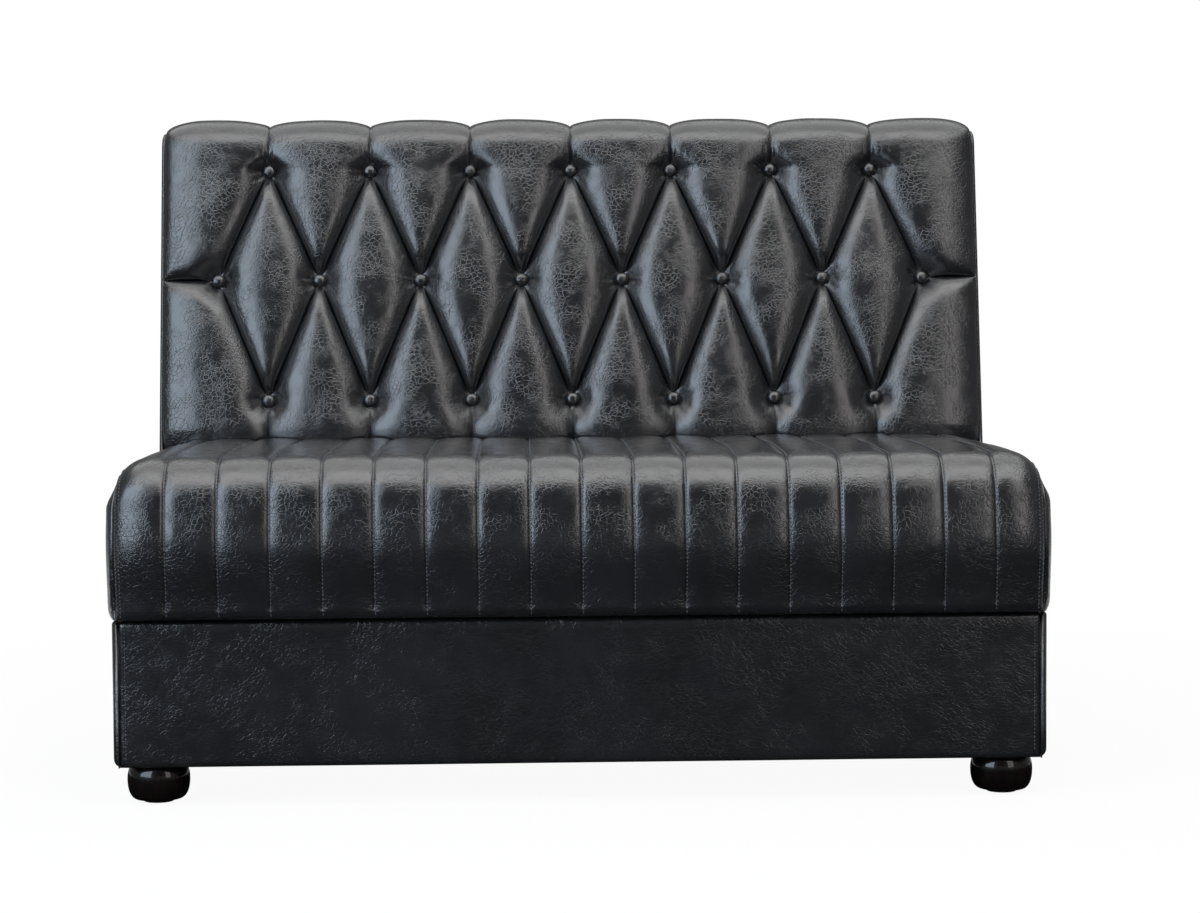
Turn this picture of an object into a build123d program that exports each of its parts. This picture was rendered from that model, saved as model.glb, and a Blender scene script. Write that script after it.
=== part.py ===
from build123d import *
from math import cos, pi, radians, sin
import os

# Restaurant booth bench for two, in millimetres.
# Origin on the floor under the middle of the bench, +Z up, the seat faces -Y.
# Four assemblies: bun feet, padded plinth base, channelled seat, diamond-tufted back.

# Places that the assemblies share
bench_width = 1212
front_y = -325
rear_y = 325
base_bottom = 50
base_top = 240
seat_top = 452
back_top = 921
fit = 0.3
overrun = 5
small_sides = 6

# Base: boards, padded vinyl panels and what carries the feet
base_end_set_back = 7
base_set_back = 20
base_pad = 8
base_pad_crown = 2
base_shadow_gap = 2
board = 18
rear_cloth = 3
dust_cloth = 1
cross_rail_count = 3
cross_rail_height = 70
batten_width = 40
corner_block = 90
corner_block_height = 20

# Feet: turned bun feet on nylon glides, each on one hanger bolt
foot_inset = 51
foot_set_back = 50
foot_diameter = 77
foot_flat_diameter = 56
foot_neck_diameter = 68
foot_belly_height = 31
glide_diameter = 38
glide_height = 3
bolt_diameter = 8
bolt_bite = 26
bolt_end = 10
tee_nut_barrel = 11
tee_nut_flange = 22
tee_nut_plate = 1.6
bolt_clearance = 0.4

# Seat: timber frame, slatted deck, foam, and a quilted cover in channels
seat_rear_y = 160
channel_count = 18
end_channel_trim = 1.5
groove_depth = 3.2
groove_flank = 7
seat_skin = 12
quilt_depth = 8
core_inset = 6
nose_radius = 56
front_roll = 14
end_round_run = 59
end_round_drop = 38
end_round_rise = 0.2
front_corner_run = 42
front_corner_drop = 16
boxing_bulge = 14
boxing_softness = 12
rail = 25
seat_rail_height = 60
seat_frame_inset = 25
seat_frame_front = 30
seat_frame_rear = 4
deck = 12
vent_diameter = 40
vent_columns = 4
vent_rows = 2
screw_diameter = 5
screw_head_diameter = 10
screw_head_height = 3
screw_clearance = 0.4
seat_screw_bite = 35
back_screw_bite = 15

# Back: wedge frame, tufting board, foam, and a cover tufted in diamonds
back_end_set_back = 7
back_pitch_angle = 9
back_foot_y = 180
back_foot_z = 420
tuft_columns = 7
end_tuft_margin = 5
top_row_z = 843
middle_row_z = 681
bottom_row_z = 505
pillow_crown = 28
pillow_edge = 14
pillow_button_edge = 5
pillow_top_edge = 17
pillow_root = 2
pillow_tuck = 45
pillow_tuck_drop = 16
pleat_width = 3.2
end_pleat_crown = 16
end_pleat_run = 70
back_skin = 14
back_foam_thickness = 20
tuft_board = 9
roll_radius = 16
well_diameter = 20
well_sides = 8
well_depth = 4
button_diameter = 17
button_height = 8
button_rim = 3
button_slope = 35
button_sides = 12
twine_diameter = 2
twine_hole = 4
twine_tail = 24
staple_width = 10
staple_gauge = 1.5
back_boxing = 6
back_boxing_softness = 4
rear_panel = 6
rear_panel_softness = 2.5
top_rail_height = 50
top_rail_depth = 20
bottom_rail_height = 25
stud = 25
back_ear_gap = 2
back_ear_drop = 8

# Shares of half a diamond's height at which a pillow's section is drawn
pillow_shares = (0.06, 0.2, 0.4, 0.65, 1)

# Shares of the spread of each row of screws, and of the button pitch for the studs between them
screw_shares = (-1, -1 / 3, 1 / 3, 1)
stud_shares = (-2.25, -0.75, 0.75, 2.25)

# Worked-out places
pitch_cos = cos(radians(back_pitch_angle))
pitch_sin = sin(radians(back_pitch_angle))
base_half = bench_width / 2 - base_end_set_back
base_front_y = front_y + base_set_back
frame_front_y = base_front_y + base_pad
frame_rear_y = rear_y - rear_cloth
frame_half = base_half - base_pad
frame_bottom = base_bottom + dust_cloth
foot_x = base_half - foot_inset
foot_front_y = base_front_y + foot_set_back
foot_rear_y = rear_y - foot_set_back - base_set_back
seat_half = bench_width / 2 - boxing_bulge
channel_pitch = 2 * (seat_half + end_channel_trim) / channel_count
seat_frame_half = seat_half - seat_frame_inset
seat_frame_front_y = front_y + seat_frame_front
seat_frame_rear_y = seat_rear_y - seat_frame_rear
deck_bottom = base_top + seat_rail_height
deck_top = deck_bottom + deck
back_half = bench_width / 2 - back_end_set_back
tuft_pitch = 2 * (back_half - end_tuft_margin) / (tuft_columns + 1)
roll_axis_z = back_top - roll_radius - pillow_crown
roll_axis_v = (roll_axis_z - back_foot_z + roll_radius * pitch_sin) / pitch_cos
roll_axis_y = back_foot_y + roll_axis_v * pitch_sin + roll_radius * pitch_cos
rear_roll_y = rear_y - roll_radius - pillow_crown
panel_face_y = rear_y - rear_panel
tuft_board_face = back_skin + fit + back_foam_thickness
tuft_board_rear = tuft_board_face + tuft_board
foot_places = [
    ("front_left", -foot_x, foot_front_y),
    ("front_right", foot_x, foot_front_y),
    ("rear_left", -foot_x, foot_rear_y),
    ("rear_right", foot_x, foot_rear_y),
]


def row_height(z):
    """Distance up the sloping back of a button row at height z."""
    return (z - back_foot_z) / pitch_cos


top_row = row_height(top_row_z)
middle_row = row_height(middle_row_z)
bottom_row = row_height(bottom_row_z)
button_places = [
    (tuft_pitch * (column - (tuft_columns - 1) / 2), row)
    for row in (top_row, bottom_row)
    for column in range(tuft_columns)
] + [
    (tuft_pitch * (column - tuft_columns / 2), middle_row)
    for column in range(tuft_columns + 1)
]


# Helpers for flat pieces
def block(x_low, x_high, y_low, y_high, z_low, z_high):
    size = Box(x_high - x_low, y_high - y_low, z_high - z_low, align=(Align.MIN,) * 3)
    return Pos(x_low, y_low, z_low) * size


def side_plate(outline, x_low, x_high):
    """A piece with its outline in y and z and its thickness along x."""
    face = Plane.YZ * make_face(outline)
    return Pos(X=x_low) * extrude(face, x_high - x_low, dir=(1, 0, 0))


def other_side(solid):
    return mirror(solid, about=Plane.YZ)


def upright(x, y, z_low, z_high, diameter):
    height = z_high - z_low
    return Pos(x, y, z_low) * Cylinder(diameter / 2, height, align=(Align.CENTER, Align.CENTER, Align.MIN))


def small_rod(x, y, z_low, z_high, diameter):
    """An upright pin or hole of a small fastener, with a few flats in place of its round."""
    face = RegularPolygon(diameter / 2, small_sides)
    return Pos(x, y, z_low) * extrude(face, z_high - z_low)


def on_back(v, depth):
    """The point (y, z) at distance v up the back and a depth behind the pleat plane."""
    y = back_foot_y + v * pitch_sin + depth * pitch_cos
    z = back_foot_z + v * pitch_cos - depth * pitch_sin
    return (y, z)


def depth_at_height(z, depth):
    """The y of a layer of the back at height z."""
    v = (z - back_foot_z + depth * pitch_sin) / pitch_cos
    return on_back(v, depth)[0]


back_plane = Plane(origin=(0, back_foot_y, back_foot_z), x_dir=(1, 0, 0), z_dir=(0, -pitch_cos, pitch_sin))


# Feet
def foot(x, y):
    shoulder = base_bottom - glide_height
    profile = Polyline(
        (0, 0), (foot_flat_diameter / 2, 0)
    ) + Spline(
        (foot_flat_diameter / 2, 0),
        (foot_diameter / 2, foot_belly_height - glide_height),
        (foot_neck_diameter / 2, shoulder),
    ) + Polyline((foot_neck_diameter / 2, shoulder), (0, shoulder), (0, 0))
    turned = revolve(Plane.XZ * make_face(profile), Axis.Z)
    bore_low = base_bottom - bolt_bite - fit
    bore = small_rod(x, y, bore_low, base_bottom + overrun, bolt_diameter + bolt_clearance)
    return Pos(x, y, glide_height) * turned - bore


def foot_glide(x, y):
    return upright(x, y, 0, glide_height, glide_diameter)


def foot_bolt(x, y):
    top = frame_bottom + corner_block_height + tee_nut_plate + bolt_end
    return small_rod(x, y, base_bottom - bolt_bite, top, bolt_diameter)


def tee_nut(x, y):
    block_top = frame_bottom + corner_block_height
    barrel = small_rod(x, y, frame_bottom + corner_block_height / 3, block_top, tee_nut_barrel)
    flange = small_rod(x, y, block_top, block_top + tee_nut_plate, tee_nut_flange)
    bore = small_rod(x, y, base_bottom, block_top + overrun, bolt_diameter + bolt_clearance)
    return barrel + flange - bore


# Base
def padded_strip(height, thickness):
    """Section of a padded panel: flat at the back, crowned face, rolled at top and foot."""
    face = thickness - base_pad_crown
    roll = face - fit
    lower = (face, roll)
    upper = (face, height - roll)
    return (
        Line((0, 0), (face - roll, 0))
        + TangentArc((face - roll, 0), lower, tangent=(1, 0))
        + ThreePointArc(lower, (thickness, height / 2), upper)
        + TangentArc(upper, (face - roll, height), tangent=(0, 1))
        + Polyline((face - roll, height), (0, height), (0, 0))
    )


def base_front_cover():
    height = base_top - base_shadow_gap - base_bottom
    section = make_face(padded_strip(height, base_pad))
    place = Plane(origin=(frame_half, frame_front_y, base_bottom), x_dir=(0, -1, 0), z_dir=(-1, 0, 0))
    return extrude(place * section, 2 * frame_half)


def base_right_cover():
    height = base_top - base_shadow_gap - base_bottom
    section = make_face(padded_strip(height, base_pad))
    place = Plane(origin=(frame_half, frame_rear_y, base_bottom), x_dir=(1, 0, 0), z_dir=(0, -1, 0))
    return extrude(place * section, frame_rear_y - base_front_y)


def base_board(y_low):
    return block(-frame_half, frame_half, y_low, y_low + board, frame_bottom, base_top)


def base_side_board():
    return block(
        frame_half - board, frame_half,
        frame_front_y + board, frame_rear_y - board,
        frame_bottom, base_top,
    )


def cross_rail_places():
    gap = 2 * (frame_half - board) / (cross_rail_count + 1)
    return [gap * (index - (cross_rail_count - 1) / 2) for index in range(cross_rail_count)]


def base_cross_rails():
    return [
        block(
            x - board / 2, x + board / 2,
            frame_front_y + board, frame_rear_y - board,
            base_top - cross_rail_height, base_top - board,
        )
        for x in cross_rail_places()
    ]


def batten_row(y_low):
    """A batten along the inside of a long board, under the seat or the back."""
    inner = frame_half - board
    strip = block(-inner, inner, y_low, y_low + batten_width, base_top - board, base_top)
    return strip


def corner_block_at(x, y):
    inner = frame_half - board
    front = frame_front_y + board
    rear = frame_rear_y - board
    x_low, x_high = (inner - corner_block, inner) if x > 0 else (-inner, corner_block - inner)
    y_low, y_high = (rear - corner_block, rear) if y > 0 else (front, front + corner_block)
    low = frame_bottom
    high = frame_bottom + corner_block_height
    hole = small_rod(x, y, base_bottom, high + overrun, tee_nut_barrel + bolt_clearance)
    return block(x_low, x_high, y_low, y_high, low, high) - hole


def base_rear_cover():
    top = base_top - base_shadow_gap
    return block(-base_half, base_half, frame_rear_y, rear_y, base_bottom, top)


def base_dust_cover():
    sheet = block(
        -frame_half, frame_half, frame_front_y, frame_rear_y, base_bottom, frame_bottom
    )
    for _, x, y in foot_places:
        sheet -= small_rod(x, y, base_bottom - overrun, frame_bottom + overrun, tee_nut_barrel)
    return sheet


# Seat
def channel_section():
    """Section of the quilted layer: flat crowns, soft flanks and narrow sewn grooves."""
    outline = Curve()
    for index in range(channel_count):
        left = channel_pitch * (index - channel_count / 2)
        right = left + channel_pitch
        outline += TangentArc((left + groove_flank, 0), (left, -groove_depth), tangent=(-1, 0))
        outline += Line((left + groove_flank, 0), (right - groove_flank, 0))
        outline += TangentArc((right - groove_flank, 0), (right, -groove_depth), tangent=(1, 0))
    edge = channel_pitch * channel_count / 2
    low = -quilt_depth
    outline += Polyline((edge, -groove_depth), (edge, low), (-edge, low), (-edge, -groove_depth))
    return make_face(outline)


def seat_line(inset):
    """The seat's side view from the rear over the nose to the roll under the front, in y and z."""
    top = seat_top - inset
    front = front_y + inset
    nose_y = front_y + nose_radius
    nose_z = seat_top - nose_radius
    roll_y = front_y + front_roll
    roll_z = base_top + front_roll
    return (
        Line((seat_rear_y, top), (nose_y, top))
        + TangentArc((nose_y, top), (front, nose_z), tangent=(-1, 0))
        + Line((front, nose_z), (front, roll_z))
        + TangentArc((front, roll_z), (roll_y, base_top + inset), tangent=(0, -1))
    )


def seat_form(inset, floor_z):
    """The seat as one plain closed form, set in from its crown line."""
    half = seat_half - inset
    roll_y = front_y + front_roll
    foot = Polyline(
        (roll_y, base_top + inset), (roll_y, floor_z), (seat_rear_y, floor_z), (seat_rear_y, seat_top - inset)
    )
    form = side_plate(seat_line(inset) + foot, -half, half)
    return form & end_rounds(inset, half) & front_corners(inset, half)


def quilted_form():
    """The seat's outer form with its channels, over the top, round the nose and under the front."""
    across = Plane(origin=(0, seat_rear_y, seat_top), x_dir=(1, 0, 0), z_dir=(0, -1, 0))
    path = Plane.YZ * seat_line(0)
    quilt = sweep(across * channel_section(), path=path.wire())
    core_foot = Polyline(
        (front_y + front_roll, base_top + core_inset), (front_y + front_roll, base_top),
        (seat_rear_y, base_top), (seat_rear_y, seat_top - core_inset),
    )
    core = side_plate(seat_line(core_inset) + core_foot, -seat_half, seat_half)
    return (core + quilt) & end_rounds(0, seat_half) & front_corners(0, seat_half)


def end_rounds(inset, half):
    """Prism along y that rounds the seat's two top ends."""
    start = half - end_round_run
    high = seat_top + end_round_rise - inset
    low = high - end_round_drop
    outline = (
        Line((-start, high), (start, high))
        + TangentArc((start, high), (half, low), tangent=(1, 0))
        + Polyline((half, low), (half, 0), (-half, 0), (-half, low))
        + TangentArc((-start, high), (-half, low), tangent=(-1, 0))
    )
    place = Plane(origin=(0, front_y - overrun, 0), x_dir=(1, 0, 0), z_dir=(0, -1, 0))
    return extrude(place * make_face(outline), seat_rear_y - front_y + 2 * overrun, dir=(0, 1, 0))


def front_corners(inset, half):
    """Upright prism that rounds the seat's two front corners."""
    start = half - front_corner_run
    front = front_y + inset - end_round_rise
    back = front + front_corner_drop
    rear = seat_rear_y + overrun
    outline = (
        Line((-start, front), (start, front))
        + TangentArc((start, front), (half, back), tangent=(1, 0))
        + Polyline((half, back), (half, rear), (-half, rear), (-half, back))
        + TangentArc((-start, front), (-half, back), tangent=(-1, 0))
    )
    return extrude(make_face(outline), seat_top + overrun, dir=(0, 0, 1))


def seat_cover():
    return quilted_form() - seat_form(seat_skin, base_top - overrun)


def seat_foam():
    inset = seat_skin + fit
    gap = fit
    frame = block(
        -seat_frame_half - gap, seat_frame_half + gap,
        seat_frame_front_y - gap, seat_rear_y + overrun,
        base_top - overrun, deck_top + gap,
    )
    return seat_form(inset, base_top + fit) - frame


def seat_right_boxing():
    """Side panel of the seat, puffed out over its seam."""
    top = seat_top - end_round_drop
    front = front_y + front_corner_drop
    nose = nose_radius - front_corner_drop
    outline = (
        Line((front, base_top + nose / 2), (front, top - nose))
        + TangentArc((front, top - nose), (front + nose, top), tangent=(0, 1))
        + Polyline((front + nose, top), (seat_rear_y, top), (seat_rear_y, base_top), (front + nose / 2, base_top))
        + TangentArc((front, base_top + nose / 2), (front + nose / 2, base_top), tangent=(0, -1))
    )
    panel = side_plate(outline, seat_half, seat_half + boxing_bulge)
    outer = panel.faces().sort_by(Axis.X)[-1].edges()
    return fillet(outer, boxing_softness)


def seat_long_rail(y_low):
    return block(-seat_frame_half, seat_frame_half, y_low, y_low + rail, base_top, deck_bottom)


def seat_cross_rail(x_low):
    front = seat_frame_front_y + rail
    rear = seat_frame_rear_y - rail
    return block(x_low, x_low + rail, front, rear, base_top, deck_bottom)


def seat_deck():
    sheet = block(
        -seat_frame_half, seat_frame_half,
        seat_frame_front_y, seat_frame_rear_y, deck_bottom, deck_top,
    )
    length = 2 * seat_frame_half / vent_columns
    depth = (seat_frame_rear_y - seat_frame_front_y) / (vent_rows + 1)
    for column in range(vent_columns):
        for row in range(vent_rows):
            x = length * (column - (vent_columns - 1) / 2)
            y = seat_frame_front_y + depth * (row + 1)
            sheet -= upright(x, y, deck_bottom - overrun, deck_top + overrun, vent_diameter)
    return sheet


def screw(x, y, head_z, tip_z):
    """A screw with its head sunk at head_z and its tip at tip_z, either way up."""
    up = 1 if tip_z > head_z else -1
    neck = head_z + up * screw_head_height
    shank = small_rod(x, y, min(neck, tip_z), max(neck, tip_z), screw_diameter)
    return shank + small_rod(x, y, min(head_z, neck), max(head_z, neck), screw_head_diameter)


def screw_hole(x, y, head_z, tip_z):
    up = 1 if tip_z > head_z else -1
    mouth = head_z - up * overrun
    neck = head_z + up * screw_head_height
    end = tip_z + up * fit
    shank = small_rod(x, y, min(neck, end), max(neck, end), screw_diameter + screw_clearance)
    wide = small_rod(x, y, min(mouth, neck), max(mouth, neck), screw_head_diameter + screw_clearance)
    return shank + wide


# Screws up through the battens into the seat's long rails
def seat_screw_places():
    front = frame_front_y + board + screw_head_diameter / 2 + fit
    rear = seat_frame_rear_y - rail / 2
    spread = seat_frame_half - corner_block
    head = base_top - board
    tip = base_top + seat_screw_bite
    return [(spread * share, y, head, tip) for y in (front, rear) for share in screw_shares]


# Screws down through the back's bottom rail into the rear batten
def back_screw_places():
    y = frame_rear_y - board - batten_width / 2
    spread = back_half - board - corner_block
    head = base_top + bottom_rail_height
    tip = base_top - back_screw_bite
    return [(spread * share, y, head, tip) for share in screw_shares]


# Back
def pleat_edge(share):
    """Height of a pillow's edge along a pleat, lowest at the buttons."""
    return pillow_button_edge + (pillow_edge - pillow_button_edge) * sin(pi * share)


def pillow_rise(share):
    """Height of a pillow's crown, from a button to the widest row."""
    return pillow_button_edge + (pillow_crown - pillow_button_edge) * sin(pi / 2 * share)


def pillow_section(left, right, left_edge, right_edge, crown):
    foot_line = -pillow_root
    middle = (left + right) / 2
    outline = (
        Line((left, foot_line), (left, left_edge))
        + ThreePointArc((left, left_edge), (middle, crown), (right, right_edge))
        + Polyline((right, right_edge), (right, foot_line), (left, foot_line))
    )
    return make_face(outline)


def section_at(v, section):
    y, z = on_back(v, 0)
    place = Plane(origin=(0, y, z), x_dir=(1, 0, 0), z_dir=(0, -pitch_sin, -pitch_cos))
    return place * section


def loft_pillow(levels):
    return loft([section_at(level[0], pillow_section(*level[1:])) for level in levels], ruled=True)


def diamond(x):
    """A full diamond between four buttons."""
    levels = []
    for share in pillow_shares:
        half = share * tuft_pitch / 2 - pleat_width / 2
        edge = pleat_edge(share)
        v = top_row - share * (top_row - middle_row)
        levels.append((v, x - half, x + half, edge, edge, pillow_rise(share)))
    for share in pillow_shares[-2::-1]:
        half = share * tuft_pitch / 2 - pleat_width / 2
        edge = pleat_edge(share)
        v = bottom_row + share * (middle_row - bottom_row)
        levels.append((v, x - half, x + half, edge, edge, pillow_rise(share)))
    return loft_pillow(levels)


def half_cell(x, row, mouth):
    """A pillow that starts at a middle button and opens towards the row given."""
    levels = []
    for share in pillow_shares:
        half = share * tuft_pitch / 2 - pleat_width / 2
        edge = pleat_edge(share)
        v = middle_row + share * (row - middle_row)
        levels.append((v, x - half, x + half, edge, edge, pillow_rise(share)))
    wide = (tuft_pitch - pleat_width) / 2
    return loft_pillow(levels + mouth(x - wide, x + wide))


def end_cell(row, mouth):
    """The right-hand end pillow, between the side seam, a level pleat and the outer buttons."""
    inner_start = tuft_pitch * tuft_columns / 2
    levels = []
    for share in (0,) + pillow_shares:
        inner = inner_start - share * tuft_pitch / 2 + pleat_width / 2
        start = pleat_width / 2 if row > middle_row else -pleat_width / 2
        v = middle_row + start + share * (row - middle_row - start)
        reach = min(1, abs(v - middle_row) / end_pleat_run)
        crown = end_pleat_crown + (pillow_crown - end_pleat_crown) * sin(pi / 2 * reach)
        levels.append((v, inner, back_half, pleat_edge(share), pillow_edge, crown))
    inner = inner_start - tuft_pitch / 2 + pleat_width / 2
    return loft_pillow(levels + mouth(inner, back_half))


def top_mouth(left, right):
    return [(roll_axis_v, left, right, pillow_top_edge, pillow_top_edge, pillow_crown)]


def foot_mouth(left, right):
    low = pillow_edge - pillow_tuck_drop / 2
    return [
        (pillow_tuck, left, right, pillow_edge, pillow_edge, pillow_crown),
        (0, left, right, low, low, pillow_crown - pillow_tuck_drop),
    ]


def over_the_top(section):
    """Carries a section from the sloping face over the rounded top and down to the rear edge."""
    front_place = section_at(roll_axis_v, section)
    front_axis = Axis((0, roll_axis_y, roll_axis_z), (-1, 0, 0))
    level_top = Plane(
        origin=(0, roll_axis_y, roll_axis_z + roll_radius), x_dir=(1, 0, 0), z_dir=(0, -1, 0)
    )
    rear_top = Plane(
        origin=(0, rear_roll_y, roll_axis_z + roll_radius), x_dir=(1, 0, 0), z_dir=(0, -1, 0)
    )
    rear_axis = Axis((0, rear_roll_y, roll_axis_z), (-1, 0, 0))
    roll = revolve(front_place, front_axis, 90 - back_pitch_angle)
    roll += extrude(level_top * section, rear_roll_y - roll_axis_y, dir=(0, 1, 0))
    return roll + revolve(rear_top * section, rear_axis, 90)


def skin_section(low):
    return make_face(Polyline((-back_half, 0), (back_half, 0), (back_half, low), (-back_half, low), close=True))


def back_cover():
    """The tufted cover with its wadding: 23 pillows on one quilted layer."""
    flat = section_at(0, skin_section(-back_skin))
    cover = extrude(flat, roll_axis_v, dir=(0, pitch_sin, pitch_cos))
    cover += over_the_top(skin_section(-back_skin))
    wide = (tuft_pitch - pleat_width) / 2
    outer = tuft_pitch * (tuft_columns - 1) / 2 + pleat_width / 2
    for column in range(tuft_columns):
        cover += diamond(tuft_pitch * (column - (tuft_columns - 1) / 2))
    for column in range(1, tuft_columns):
        x = tuft_pitch * (column - tuft_columns / 2)
        cover += half_cell(x, top_row, top_mouth)
        cover += half_cell(x, bottom_row, foot_mouth)
        flute = pillow_section(x - wide, x + wide, pillow_top_edge, pillow_top_edge, pillow_crown)
        cover += over_the_top(flute)
    upper_end = end_cell(top_row, top_mouth)
    lower_end = end_cell(bottom_row, foot_mouth)
    end_flute = pillow_section(outer, back_half, pillow_top_edge, pillow_edge, pillow_crown)
    for piece in (upper_end, lower_end, over_the_top(end_flute)):
        cover += piece
        cover += other_side(piece)
    wells = [button_well(x, v) for x, v in button_places]
    holes = [along_back(x, v, -back_skin - overrun, 0, twine_hole) for x, v in button_places]
    return cover - (wells + holes)


def button_well(x, v):
    """The pit that a button pulls into the cover."""
    face = RegularPolygon(well_diameter / 2, well_sides)
    pit = extrude(face, well_depth + pillow_crown + overrun)
    return back_plane.location * (Pos(x, v, -well_depth) * pit)


def along_back(x, v, low, high, diameter):
    """A small rod square to the back, from height low to high over the pleat plane."""
    return back_plane.location * (Pos(x, v, low) * extrude(RegularPolygon(diameter / 2, small_sides), high - low))


def back_button(x, v):
    """A covered button: a rim and a sloping crown."""
    face = RegularPolygon(button_diameter / 2, button_sides)
    crown_face = Pos(Z=button_rim) * face
    shape = extrude(face, button_rim) + extrude(crown_face, button_height - button_rim, taper=button_slope)
    return back_plane.location * (Pos(x, v, -well_depth) * shape)


def back_layer(near, far, half):
    """A flat layer of the back, between two depths behind the pleat plane."""
    z = roll_axis_z - fit
    outline = Polyline(
        on_back(0, near), (depth_at_height(z, near), z), (depth_at_height(z, far), z), on_back(0, far),
        close=True,
    )
    return side_plate(outline, -half, half)


def back_foam():
    layer = back_layer(back_skin + fit, tuft_board_face, back_half)
    return layer - [along_back(x, v, -tuft_board_rear, 0, twine_hole) for x, v in button_places]


def back_tuft_board():
    layer = back_layer(tuft_board_face, tuft_board_rear, back_half)
    return layer - [along_back(x, v, -tuft_board_rear - overrun, 0, twine_hole) for x, v in button_places]


def tail_bar(x, v, width, length, low, high):
    """A short bar flat behind the tufting board."""
    bar = Pos(x, v, (low + high) / 2) * Box(width, length, high - low)
    return back_plane.location * bar


def back_twine(x, v):
    """The twine of one button, through the board and turned down behind it."""
    end = -tuft_board_rear - twine_diameter
    thread = along_back(x, v, end, -well_depth, twine_diameter)
    middle = v - (twine_tail - twine_diameter) / 2
    return thread + tail_bar(x, middle, twine_diameter, twine_tail, end, -tuft_board_rear)


def twine_staple(x, v):
    """A staple's crown, pressed on the twine's tail."""
    high = -tuft_board_rear - twine_diameter
    return tail_bar(x, v - twine_tail / 2, staple_width, staple_gauge, high - staple_gauge, high)


def back_stud(x):
    low = base_top + bottom_rail_height
    high = roll_axis_z - fit - top_rail_height
    foot_y, foot_z = on_back(0, tuft_board_rear)
    outline = Polyline(
        (foot_y, low), (foot_y, foot_z), (depth_at_height(high, tuft_board_rear), high),
        (panel_face_y, high), (panel_face_y, low), close=True,
    )
    return side_plate(outline, x - stud / 2, x + stud / 2)


def back_side_board():
    high = roll_axis_z - fit
    foot_y, foot_z = on_back(0, tuft_board_rear)
    ear_y = seat_rear_y + back_ear_gap
    ear_z = foot_z - back_ear_drop
    outline = Polyline(
        (ear_y, base_top), (ear_y, ear_z), (foot_y, ear_z), (foot_y, foot_z),
        (depth_at_height(high, tuft_board_rear), high), (panel_face_y, high), (panel_face_y, base_top),
        close=True,
    )
    return side_plate(outline, back_half - board, back_half)


def back_top_rail():
    high = roll_axis_z - fit
    inner = back_half - board
    return block(-inner, inner, panel_face_y - top_rail_depth, panel_face_y, high - top_rail_height, high)


def back_bottom_rail():
    inner = back_half - board
    front = on_back(0, tuft_board_rear)[0]
    return block(-inner, inner, front, panel_face_y, base_top, base_top + bottom_rail_height)


def back_right_boxing():
    """Plain side panel of the back, from the base up to the rounded top."""
    ear_y = seat_rear_y + back_ear_gap
    high = roll_axis_z
    edge = roll_radius + pillow_edge
    low_y, low_z = on_back(0, -pillow_edge)
    start = on_back(roll_axis_v, -pillow_edge)
    outline = (
        Polyline((ear_y, base_top), (ear_y, low_z), (low_y, low_z), start)
        + TangentArc(start, (roll_axis_y, high + edge), tangent=(pitch_sin, pitch_cos))
        + Line((roll_axis_y, high + edge), (rear_roll_y, high + edge))
        + TangentArc((rear_roll_y, high + edge), (rear_roll_y + edge, high), tangent=(1, 0))
        + Polyline(
            (rear_roll_y + edge, high), (panel_face_y, high - edge / 2),
            (panel_face_y, base_top), (ear_y, base_top),
        )
    )
    panel = side_plate(outline, back_half, back_half + back_boxing)
    outer = panel.faces().sort_by(Axis.X)[-1].edges()
    return fillet(outer, back_boxing_softness)


def back_rear_panel():
    half = back_half + back_boxing
    panel = block(-half, half, panel_face_y, rear_y, base_top, roll_axis_z - fit)
    outer = panel.faces().sort_by(Axis.Y)[-1].edges()
    return fillet(outer, rear_panel_softness)


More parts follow.
